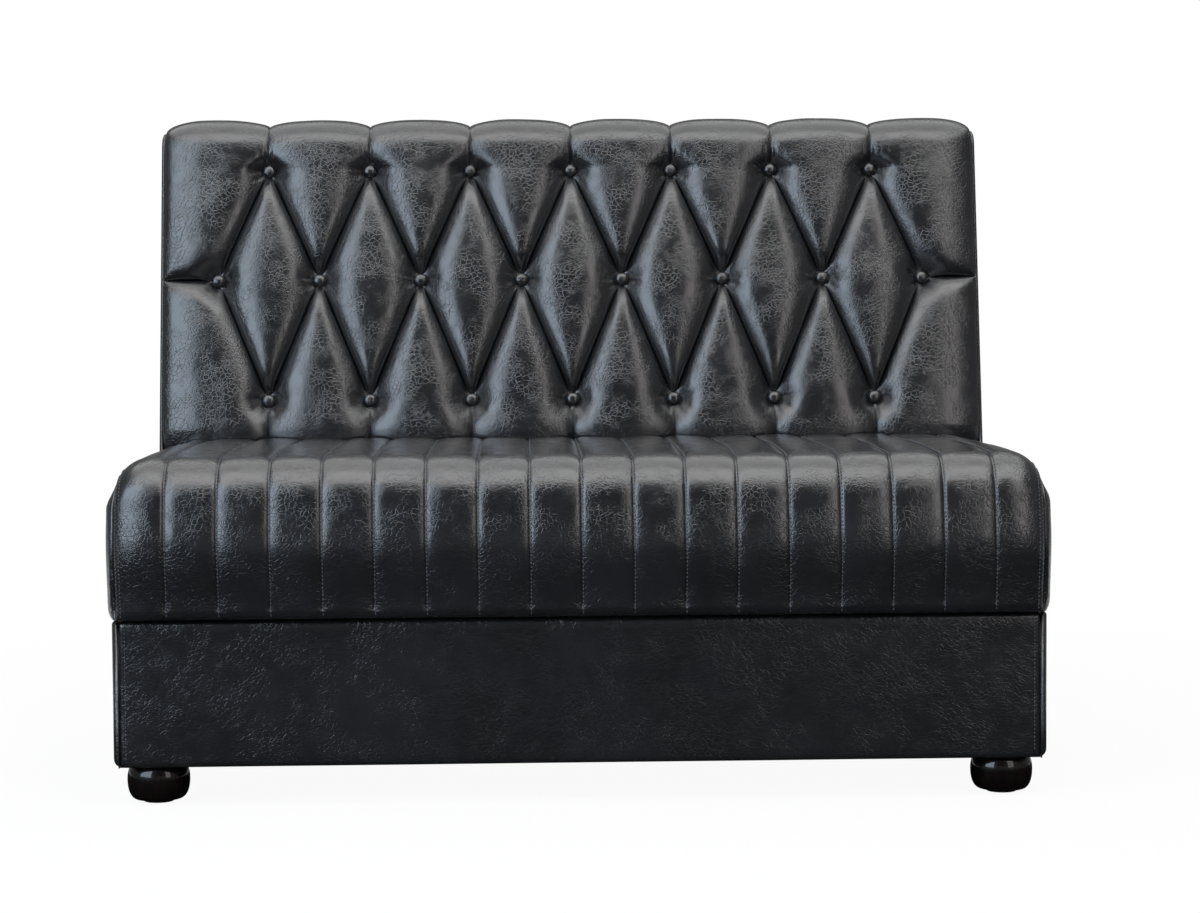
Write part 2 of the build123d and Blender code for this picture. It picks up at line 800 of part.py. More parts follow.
# Every node with its solids
def all_nodes():
    nodes = {}
    for name, x, y in foot_places:
        nodes["foot_" + name] = foot(x, y)
    nodes["foot_glides"] = [foot_glide(x, y) for _, x, y in foot_places]
    nodes["foot_bolts"] = [foot_bolt(x, y) for _, x, y in foot_places]
    nodes["foot_tee_nuts"] = [tee_nut(x, y) for _, x, y in foot_places]

    nodes["base_front_board"] = base_board(frame_front_y)
    nodes["base_rear_board"] = base_board(frame_rear_y - board)
    nodes["base_right_board"] = base_side_board()
    nodes["base_left_board"] = other_side(nodes["base_right_board"])
    nodes["base_cross_rails"] = base_cross_rails()
    seat_holes = [screw_hole(*place) for place in seat_screw_places()]
    back_holes = [screw_hole(*place) for place in back_screw_places()]
    front_batten = batten_row(frame_front_y + board)
    middle_batten = batten_row(seat_frame_rear_y - rail)
    rear_batten = batten_row(frame_rear_y - board - batten_width)
    row = len(screw_shares)
    nodes["base_battens"] = [
        front_batten - seat_holes[:row], middle_batten - seat_holes[row:], rear_batten - back_holes,
    ]
    nodes["base_corner_blocks"] = [corner_block_at(x, y) for _, x, y in foot_places]
    nodes["base_front_cover"] = base_front_cover()
    nodes["base_right_cover"] = base_right_cover()
    nodes["base_left_cover"] = other_side(nodes["base_right_cover"])
    nodes["base_rear_cover"] = base_rear_cover()
    nodes["base_dust_cover"] = base_dust_cover()

    nodes["seat_front_rail"] = seat_long_rail(seat_frame_front_y) - seat_holes[:row]
    nodes["seat_rear_rail"] = seat_long_rail(seat_frame_rear_y - rail) - seat_holes[row:]
    nodes["seat_right_rail"] = seat_cross_rail(seat_frame_half - rail)
    nodes["seat_left_rail"] = other_side(nodes["seat_right_rail"])
    third = seat_frame_half / 3
    nodes["seat_centre_rails"] = [seat_cross_rail(x - rail / 2) for x in (-third, third)]
    nodes["seat_deck"] = seat_deck()
    nodes["seat_foam"] = seat_foam()
    nodes["seat_cover"] = seat_cover()
    nodes["seat_right_boxing"] = seat_right_boxing()
    nodes["seat_left_boxing"] = other_side(nodes["seat_right_boxing"])
    nodes["seat_fixing_screws"] = [screw(*place) for place in seat_screw_places()]

    nodes["back_right_side_board"] = back_side_board()
    nodes["back_left_side_board"] = other_side(nodes["back_right_side_board"])
    nodes["back_studs"] = [back_stud(tuft_pitch * share) for share in stud_shares]
    nodes["back_top_rail"] = back_top_rail()
    nodes["back_bottom_rail"] = back_bottom_rail() - back_holes
    nodes["back_tuft_board"] = back_tuft_board()
    nodes["back_foam"] = back_foam()
    nodes["back_cover"] = back_cover()
    nodes["back_right_boxing"] = back_right_boxing()
    nodes["back_left_boxing"] = other_side(nodes["back_right_boxing"])
    nodes["back_rear_panel"] = back_rear_panel()
    nodes["back_buttons"] = [back_button(x, v) for x, v in button_places]
    nodes["back_button_twines"] = [back_twine(x, v) for x, v in button_places]
    nodes["back_twine_staples"] = [twine_staple(x, v) for x, v in button_places]
    nodes["back_fixing_screws"] = [screw(*place) for place in back_screw_places()]
    return nodes


os.makedirs("parts", exist_ok=True)
for node, shape in all_nodes().items():
    solids = shape if isinstance(shape, list) else [shape]
    export_step(Compound(label=node, children=[s for item in solids for s in item.solids()]), f"parts/{node}.step")
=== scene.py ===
from math import cos, pi, radians, sin, sqrt

import bmesh
import bpy
import numpy as np
from mathutils import Matrix, Vector, noise


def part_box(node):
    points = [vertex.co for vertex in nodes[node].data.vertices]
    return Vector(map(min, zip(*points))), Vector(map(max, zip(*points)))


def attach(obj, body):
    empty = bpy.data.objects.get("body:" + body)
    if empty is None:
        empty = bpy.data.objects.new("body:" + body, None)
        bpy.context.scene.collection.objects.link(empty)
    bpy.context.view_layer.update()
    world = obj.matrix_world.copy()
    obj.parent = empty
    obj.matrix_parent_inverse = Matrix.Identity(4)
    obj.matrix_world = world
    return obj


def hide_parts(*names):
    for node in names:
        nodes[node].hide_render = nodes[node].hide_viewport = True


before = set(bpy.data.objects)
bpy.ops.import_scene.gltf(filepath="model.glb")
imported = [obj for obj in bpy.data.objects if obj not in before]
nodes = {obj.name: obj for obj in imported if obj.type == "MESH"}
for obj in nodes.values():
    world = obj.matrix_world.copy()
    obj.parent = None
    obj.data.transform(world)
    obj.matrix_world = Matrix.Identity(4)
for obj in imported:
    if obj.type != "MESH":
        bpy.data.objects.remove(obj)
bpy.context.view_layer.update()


# Bun feet: four squashed balls turned from beech on a lathe, stained near black and
# lacquered to a high gloss, each on a hanger bolt. The lacquer's clear skin gives two
# sharp softbox reflections over a dark brown wood that hardly shows.
scene = bpy.context.scene
mm = 0.001


def linear(hex_colour):
    """An sRGB hex colour as linear red, green, blue and alpha."""
    parts = [int(hex_colour[i:i + 2], 16) / 255 for i in (1, 3, 5)]
    return [c / 12.92 if c <= 0.04045 else ((c + 0.055) / 1.055) ** 2.4 for c in parts] + [1.0]


def add(tree, kind, links=(), stops=(), **settings):
    """One node: links are (input, source socket), stops are a ramp's (share, colour),
    and settings name the node's properties or inputs."""
    node = tree.nodes.new(kind)
    for i, (share, colour) in enumerate(stops):
        node.color_ramp.elements[i].position, node.color_ramp.elements[i].color = share, linear(colour)
    for name, value in settings.items():
        if hasattr(node, name):
            setattr(node, name, value)
        else:
            node.inputs[name.replace("_", " ")].default_value = value
    for socket, source in links:
        tree.links.new(source, node.inputs[socket])
    return node


def finish_for(name, **shader_values):
    """A material with one Principled shader: returns it, its node tree and the shader."""
    material = bpy.data.materials.new(name)
    material.use_nodes = True
    tree = material.node_tree
    shader = tree.nodes["Principled BSDF"]
    for socket, value in shader_values.items():
        shader.inputs[socket.replace("_", " ")].default_value = value
    return material, tree, shader


def piece_from(bm, name, material):
    """Makes the finished mesh a piece of the bench."""
    mesh = bpy.data.meshes.new(name)
    bm.normal_update()
    bm.to_mesh(mesh)
    bm.free()
    mesh.polygons.foreach_set("use_smooth", [True] * len(mesh.polygons))
    mesh.materials.append(material)
    piece = bpy.data.objects.new(name, mesh)
    scene.collection.objects.link(piece)
    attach(piece, "root")
    return piece


lacquered_beech, tree, shader = finish_for(
    "lacquered beech, stained near black", Roughness=0.32, Specular_IOR_Level=0.2,
    Coat_Weight=1.0, Coat_Roughness=0.05, Coat_IOR=1.5,
)
place = add(tree, "ShaderNodeTexCoord").outputs["Object"]
across_grain, along_grain = 4 * mm, 60 * mm
grain_run = add(
    tree, "ShaderNodeMapping", [("Vector", place)],
    Scale=(1 / across_grain, 1 / across_grain, 1 / along_grain),
)
pores = add(tree, "ShaderNodeTexNoise", [("Vector", grain_run.outputs["Vector"])], Scale=1.0, Detail=6.0)
stain = add(
    tree, "ShaderNodeValToRGB", [("Fac", pores.outputs["Fac"])], ((0.35, "#070505"), (0.7, "#120a08"))
)
tree.links.new(stain.outputs["Color"], shader.inputs["Base Color"])
lacquer_pull = add(tree, "ShaderNodeTexNoise", [("Vector", place)], Scale=1 / (12 * mm), Detail=2.0)
bump = add(
    tree, "ShaderNodeBump", [("Height", lacquer_pull.outputs["Fac"])], Strength=0.08, Distance=0.4 * mm
)
tree.links.new(bump.outputs["Normal"], shader.inputs["Coat Normal"])
tree.links.new(bump.outputs["Normal"], shader.inputs["Normal"])

# Radius and height in millimetres, from the glide's recess up to the base.
foot_profile = [
    (0, 3), (22, 3), (28.5, 3.2), (32.5, 4.8), (36, 8.6), (38.6, 14.5), (39.9, 22), (40.3, 29), (40, 35),
    (38.8, 41), (37, 45.6), (35.2, 48.2), (34, 49.8), (0, 49.8),
]
for name in ("foot_front_left", "foot_front_right", "foot_rear_left", "foot_rear_right"):
    low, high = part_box(name)
    centre = Vector(((low.x + high.x) / 2, (low.y + high.y) / 2, 0))
    bm = bmesh.new()
    ring = [bm.verts.new((centre.x + r * mm, centre.y, z * mm)) for r, z in foot_profile]
    edges = [bm.edges.new(pair) for pair in zip(ring, ring[1:])]
    bmesh.ops.spin(
        bm, geom=ring + edges, cent=centre, axis=(0, 0, 1), angle=2 * pi, steps=72, use_merge=True
    )
    bmesh.ops.remove_doubles(bm, verts=bm.verts, dist=0.01 * mm)
    bmesh.ops.recalc_face_normals(bm, faces=bm.faces)
    bun = piece_from(bm, name.replace("foot", "bun_foot"), lacquered_beech)
    rounding = bun.modifiers.new("turned curve", "SUBSURF")
    rounding.levels = rounding.render_levels = 1
    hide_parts(name)


def dress(material, *names):
    """Gives CAD nodes whose shape is right their finish."""
    for name in names:
        nodes[name].data.materials.clear()
        nodes[name].data.materials.append(material)


moulded_nylon, tree, shader = finish_for("moulded nylon, black", Roughness=0.45)
place = add(tree, "ShaderNodeTexCoord").outputs["Object"]
mould_grit = add(tree, "ShaderNodeTexNoise", [("Vector", place)], Scale=1 / (1.2 * mm), Detail=3.0)
nylon_black = add(
    tree, "ShaderNodeValToRGB", [("Fac", mould_grit.outputs["Fac"])], ((0.3, "#17181a"), (0.7, "#232427"))
)
tree.links.new(nylon_black.outputs["Color"], shader.inputs["Base Color"])
bump = add(tree, "ShaderNodeBump", [("Height", mould_grit.outputs["Fac"])], Strength=0.3, Distance=0.1 * mm)
tree.links.new(bump.outputs["Normal"], shader.inputs["Normal"])
dress(moulded_nylon, "foot_glides")

zinc_plate, tree, shader = finish_for("zinc-plated steel", Metallic=1.0, Roughness=0.35)
place = add(tree, "ShaderNodeTexCoord").outputs["Object"]
spangle = add(tree, "ShaderNodeTexVoronoi", [("Vector", place)], Scale=1 / (3 * mm))
zinc_grey = add(
    tree, "ShaderNodeValToRGB", [("Fac", spangle.outputs["Color"])], ((0.2, "#a8a9a4"), (0.8, "#c4c6c2"))
)
tree.links.new(zinc_grey.outputs["Color"], shader.inputs["Base Color"])
dress(
    zinc_plate, "foot_bolts", "foot_tee_nuts", "seat_fixing_screws", "back_fixing_screws",
    "back_twine_staples",
)


# Frame timber: sawn and planed pine for boards, rails, battens and studs, glued and
# screwed. Soft yellow early wood with darker late-wood lines a few millimetres apart.
planed_pine, tree, shader = finish_for("planed pine, unfinished", Roughness=0.62)
place = add(tree, "ShaderNodeTexCoord").outputs["Object"]
sway = add(tree, "ShaderNodeTexNoise", [("Vector", place)], Scale=1 / (150 * mm), Detail=2.0)
swayed = add(
    tree, "ShaderNodeVectorMath", [(0, sway.outputs["Color"]), (2, place)], operation="MULTIPLY_ADD"
)
swayed.inputs[1].default_value = [12 * mm] * 3
rings = add(
    tree, "ShaderNodeTexWave", [("Vector", swayed.outputs["Vector"])], wave_type="RINGS",
    Scale=1 / (20 * mm), Distortion=3.0,
)
fibres = add(tree, "ShaderNodeTexNoise", [("Vector", place)], Scale=1 / (1.5 * mm), Detail=4.0)
late_wood = add(
    tree, "ShaderNodeValToRGB", [("Fac", rings.outputs["Fac"])], ((0.25, "#d9b784"), (0.85, "#b98a52"))
)
fibre_tint = add(
    tree, "ShaderNodeValToRGB", [("Fac", fibres.outputs["Fac"])], ((0.3, "#cfaa75"), (0.7, "#e6c795"))
)
pine_yellow = add(
    tree, "ShaderNodeMix", [("A", late_wood.outputs["Color"]), ("B", fibre_tint.outputs["Color"])],
    data_type="RGBA", blend_type="MIX", Factor=0.35,
)
tree.links.new(pine_yellow.outputs["Result"], shader.inputs["Base Color"])
bump = add(tree, "ShaderNodeBump", [("Height", fibres.outputs["Fac"])], Strength=0.3, Distance=0.2 * mm)
tree.links.new(bump.outputs["Normal"], shader.inputs["Normal"])
timber = [
    "base_front_board", "base_rear_board", "base_left_board", "base_right_board", "base_cross_rails",
    "base_battens", "base_corner_blocks", "seat_front_rail", "seat_rear_rail", "seat_left_rail",
    "seat_right_rail", "seat_centre_rails", "back_left_side_board", "back_right_side_board", "back_studs",
    "back_top_rail", "back_bottom_rail",
]
dress(planed_pine, *timber)


# Seat deck and tufting board: sanded birch plywood, drilled for air and for the button
# twines. Pale, with faint wavy figure from the peeled veneer.
birch_plywood, tree, shader = finish_for("sanded birch plywood", Roughness=0.55)
place = add(tree, "ShaderNodeTexCoord").outputs["Object"]
figure_length, figure_width = 250 * mm, 30 * mm
peel = add(
    tree, "ShaderNodeMapping", [("Vector", place)],
    Scale=(1 / figure_length, 1 / figure_width, 1 / figure_width),
)
figure = add(
    tree, "ShaderNodeTexNoise", [("Vector", peel.outputs["Vector"])], Scale=1.0, Detail=7.0, Distortion=1.2
)
veneer = add(
    tree, "ShaderNodeValToRGB", [("Fac", figure.outputs["Fac"])], ((0.3, "#dcc092"), (0.7, "#c7a06c"))
)
tree.links.new(veneer.outputs["Color"], shader.inputs["Base Color"])
dress(birch_plywood, "seat_deck", "back_tuft_board")


# Foam: blocks of open-cell polyurethane cut to the seat and the back and glued to the
# boards. Matt cream, pitted with cells about a millimetre wide, with painted shade in each pit.
open_cell_foam, tree, shader = finish_for("open-cell polyurethane foam", Roughness=0.95)
place = add(tree, "ShaderNodeTexCoord").outputs["Object"]
cells = add(tree, "ShaderNodeTexVoronoi", [("Vector", place)], Scale=1 / (1.2 * mm))
# Painted shade: the cream darkens towards each cell's pit, where the bump is lowest.
foam_cream_painted_pit_shade = add(
    tree, "ShaderNodeValToRGB", [("Fac", cells.outputs["Distance"])], ((0.1, "#cfc38f"), (0.6, "#e9dfb4"))
)
tree.links.new(foam_cream_painted_pit_shade.outputs["Color"], shader.inputs["Base Color"])
bump = add(tree, "ShaderNodeBump", [("Height", cells.outputs["Distance"])], Strength=0.6, Distance=0.6 * mm)
tree.links.new(bump.outputs["Normal"], shader.inputs["Normal"])
dress(open_cell_foam, "seat_foam", "back_foam")


# Button twine: waxed nylon twine through the foam and the board, stapled behind the
# board. Dark grey, with the slight shine of wax and a fine diagonal lay.
waxed_twine, tree, shader = finish_for("waxed nylon twine", Roughness=0.5)
place = add(tree, "ShaderNodeTexCoord").outputs["Object"]
lay = add(tree, "ShaderNodeTexWave", [("Vector", place)], Scale=1 / (2 * mm), bands_direction="DIAGONAL")
waxed_grey = add(
    tree, "ShaderNodeValToRGB", [("Fac", lay.outputs["Fac"])], ((0.2, "#2b2b2a"), (0.8, "#4b4a46"))
)
tree.links.new(waxed_grey.outputs["Color"], shader.inputs["Base Color"])
dress(waxed_twine, "back_button_twines")


# Faux leather: black vinyl skin on knitted cloth under a clear polyurethane topcoat,
# embossed from a plate with a creased hide grain. The crease lines are drawn about 1 mm
# wide, coarser than real, and they glitter in the highlights and vanish in the dark.
faux_leather, tree, shader = finish_for(
    "black faux leather, creased grain", IOR=1.5, Coat_Weight=1.0, Coat_IOR=1.5, Coat_Roughness=0.17,
)
place = add(tree, "ShaderNodeTexCoord").outputs["Object"]
drift = add(tree, "ShaderNodeTexNoise", [("Vector", place)], Scale=1 / (14 * mm), Detail=3.0)
drifted = add(
    tree, "ShaderNodeVectorMath", [(0, drift.outputs["Color"]), (2, place)], operation="MULTIPLY_ADD"
)
drifted.inputs[1].default_value = [12 * mm] * 3


def crease_lines(cell, width, depth, patch, cover):
    """Creases round cells of one size, deepest in patches: lower where the line runs."""
    cells = add(
        tree, "ShaderNodeTexVoronoi", [("Vector", drifted.outputs["Vector"])],
        feature="DISTANCE_TO_EDGE", Scale=1 / cell,
    )
    line = add(
        tree, "ShaderNodeMapRange", [("Value", cells.outputs["Distance"])],
        From_Max=width / cell, To_Min=-depth, To_Max=0.0,
    )
    patches = add(tree, "ShaderNodeTexNoise", [("Vector", place)], Scale=1 / patch, Detail=3.0)
    share = add(
        tree, "ShaderNodeMapRange", [("Value", patches.outputs["Fac"])],
        From_Min=cover, From_Max=cover + 0.18,
    )
    return add(tree, "ShaderNodeMath", [(0, line.outputs[0]), (1, share.outputs[0])], operation="MULTIPLY")


grain = crease_lines(cell=6.5 * mm, width=0.65 * mm, depth=1.0, patch=40 * mm, cover=0.38)
fine_grain = crease_lines(cell=3.4 * mm, width=0.55 * mm, depth=0.6, patch=25 * mm, cover=0.4)
long_creases = crease_lines(cell=26 * mm, width=0.8 * mm, depth=0.5, patch=80 * mm, cover=0.5)
for finer in (fine_grain, long_creases):
    grain = add(tree, "ShaderNodeMath", [(0, grain.outputs[0]), (1, finer.outputs[0])], operation="ADD")
pebble = add(tree, "ShaderNodeTexNoise", [("Vector", place)], Scale=1 / (3.5 * mm), Detail=2.0)
relief = add(
    tree, "ShaderNodeMath", [(0, pebble.outputs["Fac"]), (2, grain.outputs[0])], operation="MULTIPLY_ADD"
)
relief.inputs[1].default_value = 0.55
bump = add(tree, "ShaderNodeBump", [("Height", relief.outputs[0])], Strength=1.0, Distance=0.15 * mm)
for socket in ("Normal", "Coat Normal"):
    tree.links.new(bump.outputs["Normal"], shader.inputs[socket])
handling = add(tree, "ShaderNodeTexNoise", [("Vector", place)], Scale=1 / (90 * mm), Detail=2.0)
vinyl_black = add(
    tree, "ShaderNodeValToRGB", [("Fac", handling.outputs["Fac"])], ((0.35, "#161719"), (0.65, "#1a1b1e"))
)
tree.links.new(vinyl_black.outputs["Color"], shader.inputs["Base Color"])
worn = add(tree, "ShaderNodeMapRange", [("Value", handling.outputs["Fac"])], To_Min=0.24, To_Max=0.3)
tree.links.new(worn.outputs[0], shader.inputs["Roughness"])


# Base panels: faux leather over a thin pad on the four boards, turned under and stapled,
# with a sewn seam down each front corner. Nearly flat, with a soft roll at every edge.
def face_along(bm, out):
    """Turns an open sheet's faces to look along out."""
    bmesh.ops.recalc_face_normals(bm, faces=bm.faces)
    if sum(f.normal.dot(out) * f.calc_area() for f in bm.faces) < 0:
        bmesh.ops.reverse_faces(bm, faces=bm.faces)


def new_points(extruded):
    """The vertices that an extrusion has made."""
    return [part for part in extruded["geom"] if isinstance(part, bmesh.types.BMVert)]


def bulged_panel(name, outline, out, rise, steps, node):
    """A padded panel from its outline, raised along out. Its face is then drawn in and lifted
    step by step, each step an inset and a lift in millimetres."""
    out = Vector(out)
    bm = bmesh.new()
    base = bm.faces.new([bm.verts.new(p) for p in outline])
    bm.normal_update()
    if base.normal.dot(out) < 0:
        base.normal_flip()
    raised = bmesh.ops.extrude_face_region(bm, geom=[base], use_keep_orig=True)
    bmesh.ops.translate(bm, verts=new_points(raised), vec=out * rise)
    top = max(bm.faces, key=lambda f: f.calc_center_median().dot(out))
    bmesh.ops.recalc_face_normals(bm, faces=bm.faces)
    for inset, lift in steps:
        bmesh.ops.inset_individual(
            bm, faces=[top], thickness=inset * mm, depth=lift * mm, use_even_offset=True
        )
    bmesh.ops.recalc_face_normals(bm, faces=bm.faces)
    bmesh.ops.remove_doubles(bm, verts=bm.verts, dist=0.01 * mm)
    panel = piece_from(bm, name, faux_leather)
    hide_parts(node)
    return panel


def stretched_grid(columns, rows, place_of):
    """A grid of the given columns and rows, each point put where place_of says."""
    bm = bmesh.new()
    bmesh.ops.create_grid(bm, x_segments=len(columns) - 1, y_segments=len(rows) - 1, size=0.5)
    bm.verts.ensure_lookup_table()
    across = np.array([v.co.x + 0.5 for v in bm.verts])
    along = np.array([v.co.y + 0.5 for v in bm.verts])
    i = np.rint(across * (len(columns) - 1)).astype(int)
    j = np.rint(along * (len(rows) - 1)).astype(int)
    points = place_of(np.array(columns)[i], np.array(rows)[j])
    for vert, point in zip(bm.verts, points):
        vert.co = point
    return bm


def soft_waves(points, wavelength, height, seed):
    """Gentle unevenness of hand-laid padding."""
    shift = Vector((seed * 13.7, seed * 5.1, seed * 2.3))
    return np.array([noise.noise(Vector(p) / wavelength + shift) for p in points]) * height


base_low, base_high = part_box("base_front_cover")
base_edge = 7 * mm
edge_row_count = 6
under_seat = 1.8 * mm


def base_front(x, z):
    """The front panel's face, rolled over at its four edges."""
    from_side = np.minimum(x + base_high.x, base_high.x - x)
    from_end = np.minimum(z - base_low.z, base_high.z - z)
    roll = np.zeros_like(x)
    for gap in (from_side, from_end):
        near = np.clip(1 - gap / base_edge, 0, 1)
        roll += base_edge * (1 - np.sqrt(1 - near ** 2 * 0.98))
    y = base_low.y + 1.2 * mm + roll
    points = np.stack([x, y, z], 1)
    points[:, 1] += soft_waves(points, 0.16, 1.1 * mm, 1)
    return points


def graded(length, edge, count):
    """Places along a length, closer together over the rolled edges."""
    turn = edge * (1 - np.cos(np.linspace(0, pi / 2, edge_row_count)))
    middle = np.linspace(edge, length - edge, count)[1:-1]
    return np.concatenate([turn, middle, length - turn[::-1]])


base_columns = base_low.x + graded(base_high.x - base_low.x, base_edge, 90)
base_rows = base_low.z + graded(base_high.z - base_low.z, base_edge, 20)
bm = stretched_grid(base_columns, base_rows, base_front)
face_along(bm, Vector((0, -1, 0)))
rim = [e for e in bm.edges if e.is_boundary]
for v in new_points(bmesh.ops.extrude_edge_only(bm, edges=rim)):
    v.co.y = base_high.y - 0.3 * mm
    v.co.z += 1.7 * mm if v.co.z > base_high.z - 1 * mm else 0
top_rim = [e for e in bm.edges if e.is_boundary and min(v.co.z for v in e.verts) > base_high.z]
flap = bmesh.ops.extrude_edge_only(bm, edges=top_rim)
bmesh.ops.translate(bm, verts=new_points(flap), vec=(0, 40 * mm, 0))
front_panel = piece_from(bm, "base_front_panel", faux_leather)
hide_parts("base_front_cover")

base_side_steps = [(0.3, 1.6), (0.8, 1.7), (1.4, 1.5), (2.2, 1.2), (3.5, 0.7), (8, 0.3)]
turned_corner = 12 * mm
for side, name in ((1, "base_right_cover"), (-1, "base_left_cover")):
    low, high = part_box(name)
    inner = low.x if side > 0 else high.x
    top = high.z + under_seat
    outline = [(inner, y, z) for y, z in ((low.y, low.z), (high.y, low.z), (high.y, top), (low.y, top))]
    side_panel = bulged_panel(
        name.replace("cover", "panel"), outline, (side, 0, 0), 1 * mm, base_side_steps, name
    )
    # Its lower edge is turned in under the board, level by level.
    bm = bmesh.new()
    bm.from_mesh(side_panel.data)
    for height in (12, 9, 6.5, 4.4, 2.7, 1.4, 0.5):
        bmesh.ops.bisect_plane(
            bm, geom=bm.verts[:] + bm.edges[:] + bm.faces[:],
            plane_co=(0, 0, low.z + height * mm), plane_no=(0, 0, 1),
        )
    for vert in bm.verts:
        in_corner = max(0, 1 - (vert.co.z - low.z) / turned_corner)
        turned_in = abs(vert.co.x) - turned_corner * (1 - sqrt(1 - in_corner ** 2))
        vert.co.x = side * max(turned_in, min(abs(vert.co.x), abs(inner) + 0.6 * mm))
    bm.to_mesh(side_panel.data)
    bm.free()


# Dust cloth and rear cloth: thin black spun-bonded cloth stapled under the base and
# across its back. Matt, with a faint speckle of bonded fibres. Each is a flat cut pulled
# tight, so it only sags or ripples a little between its staples.
spun_cloth, tree, shader = finish_for("spun-bonded dust cloth", Roughness=0.9)
place = add(tree, "ShaderNodeTexCoord").outputs["Object"]
fibre_lie = add(tree, "ShaderNodeTexNoise", [("Vector", place)], Scale=1 / (2 * mm), Detail=5.0)
cloth_black = add(
    tree, "ShaderNodeValToRGB", [("Fac", fibre_lie.outputs["Fac"])], ((0.35, "#131314"), (0.7, "#262628"))
)
tree.links.new(cloth_black.outputs["Color"], shader.inputs["Base Color"])
bump = add(tree, "ShaderNodeBump", [("Height", fibre_lie.outputs["Fac"])], Strength=0.5, Distance=0.3 * mm)
tree.links.new(bump.outputs["Normal"], shader.inputs["Normal"])

staple_pitch = 60 * mm
for name, out in (("base_dust_cover", Vector((0, 0, -1))), ("base_rear_cover", Vector((0, 1, 0)))):
    low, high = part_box(name)
    size = high - low
    spans = (size.x, size.y if out.z else size.z + under_seat)

    def pulled_tight(a, b):
        """The cloth's point at a and b from its first corner."""
        if out.z:
            flat = np.column_stack([low.x + a, low.y + b, np.full_like(a, high.z - 0.2 * mm)])
        else:
            flat = np.column_stack([low.x + a, np.full_like(a, low.y + 0.2 * mm), low.z + b])
        from_edge = np.minimum.reduce([a, spans[0] - a, b, spans[1] - b])
        staples = 0.5 + 0.5 * np.cos(2 * pi * np.where(a < b, b, a) / staple_pitch)
        sag = 2.2 * mm * np.clip(from_edge / (120 * mm), 0, 1) ** 0.7
        ripple = 0.7 * mm * staples * np.exp(-from_edge / (25 * mm)) * np.clip(from_edge / (6 * mm), 0, 1)
        return flat + np.outer(sag + ripple, out)

    bm = stretched_grid(np.linspace(0, spans[0], 120), np.linspace(0, spans[1], 60), pulled_tight)
    face_along(bm, out)
    cloth_piece = piece_from(bm, name.replace("cover", "cloth"), spun_cloth)
    weave = cloth_piece.modifiers.new("cloth thickness", "SOLIDIFY")
    weave.thickness, weave.offset = 0.4 * mm, -1
    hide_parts(name)


# Seat cover: one quilted pad of faux leather on wadding, sewn through in narrow channels,
# which runs from under the back over the rounded nose and down to the base. Each channel
# is a soft rounded rib, and the seams pull a fine groove between the ribs.
seat_low, seat_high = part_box("seat_cover")
seat_half = seat_high.x
seat_front, seat_top, seat_foot, seat_rear = seat_low.y, seat_high.z, seat_low.z, seat_high.y
channel = 2 * (seat_half + 1.5 * mm) / 18
groove_width, groove_depth, rib_width, rib_depth = 2.4 * mm, 3.0 * mm, 11 * mm, 1.9 * mm
end_reach, end_drop, corner_reach, corner_set_back = 59 * mm, 38 * mm, 42 * mm, 16 * mm
front_bulge, top_sag, sag_length = 9 * mm, 5 * mm, 230 * mm
nose, foot_roll, tucked_under = 56 * mm, 14 * mm, 60 * mm
# Where the cover's path ends on the top, the nose, the front, the foot roll and underneath.
path_ends = np.cumsum([
    seat_rear - seat_front - nose, nose * pi / 2, seat_top - nose - seat_foot - foot_roll,
    foot_roll * pi / 2, tucked_under,
])


def seat_section(t):
    """Place (y, z) and outward direction at path length t, from the rear edge over the nose
    to the base."""
    y, z = np.empty_like(t), np.empty_like(t)
    ny, nz = np.zeros_like(t), np.zeros_like(t)
    top = t <= path_ends[0]
    y[top], z[top], nz[top] = seat_rear - t[top], seat_top, 1
    turn = (t > path_ends[0]) & (t <= path_ends[1])
    a = (t[turn] - path_ends[0]) / nose
    ny[turn], nz[turn] = -np.sin(a), np.cos(a)
    y[turn], z[turn] = seat_front + nose - nose * np.sin(a), seat_top - nose + nose * np.cos(a)
    face = (t > path_ends[1]) & (t <= path_ends[2])
    y[face], z[face], ny[face] = seat_front, seat_top - nose - (t[face] - path_ends[1]), -1
    turn = (t > path_ends[2]) & (t <= path_ends[3])
    a = (t[turn] - path_ends[2]) / foot_roll
    ny[turn], nz[turn] = -np.cos(a), -np.sin(a)
    y[turn] = seat_front + foot_roll - foot_roll * np.cos(a)
    z[turn] = seat_foot + foot_roll - foot_roll * np.sin(a)
    under = t > path_ends[3]
    y[under], z[under], nz[under] = seat_front + foot_roll + (t[under] - path_ends[3]), seat_foot, -1
    return y, z, ny, nz


def past_reach(x, reach):
    """0 up to reach from the side seam, 1 at the seam."""
    return np.clip(1 - (seat_half - np.abs(x)) / reach, 0, 1)


def end_round(x, reach):
    """How far the cushion's end is rounded off, in a curve just short of a quarter circle."""
    short_of_quarter = 0.985
    rounded = 1 - np.sqrt(1 - (past_reach(x, reach) * short_of_quarter) ** 2)
    return rounded / (1 - sqrt(1 - short_of_quarter ** 2))


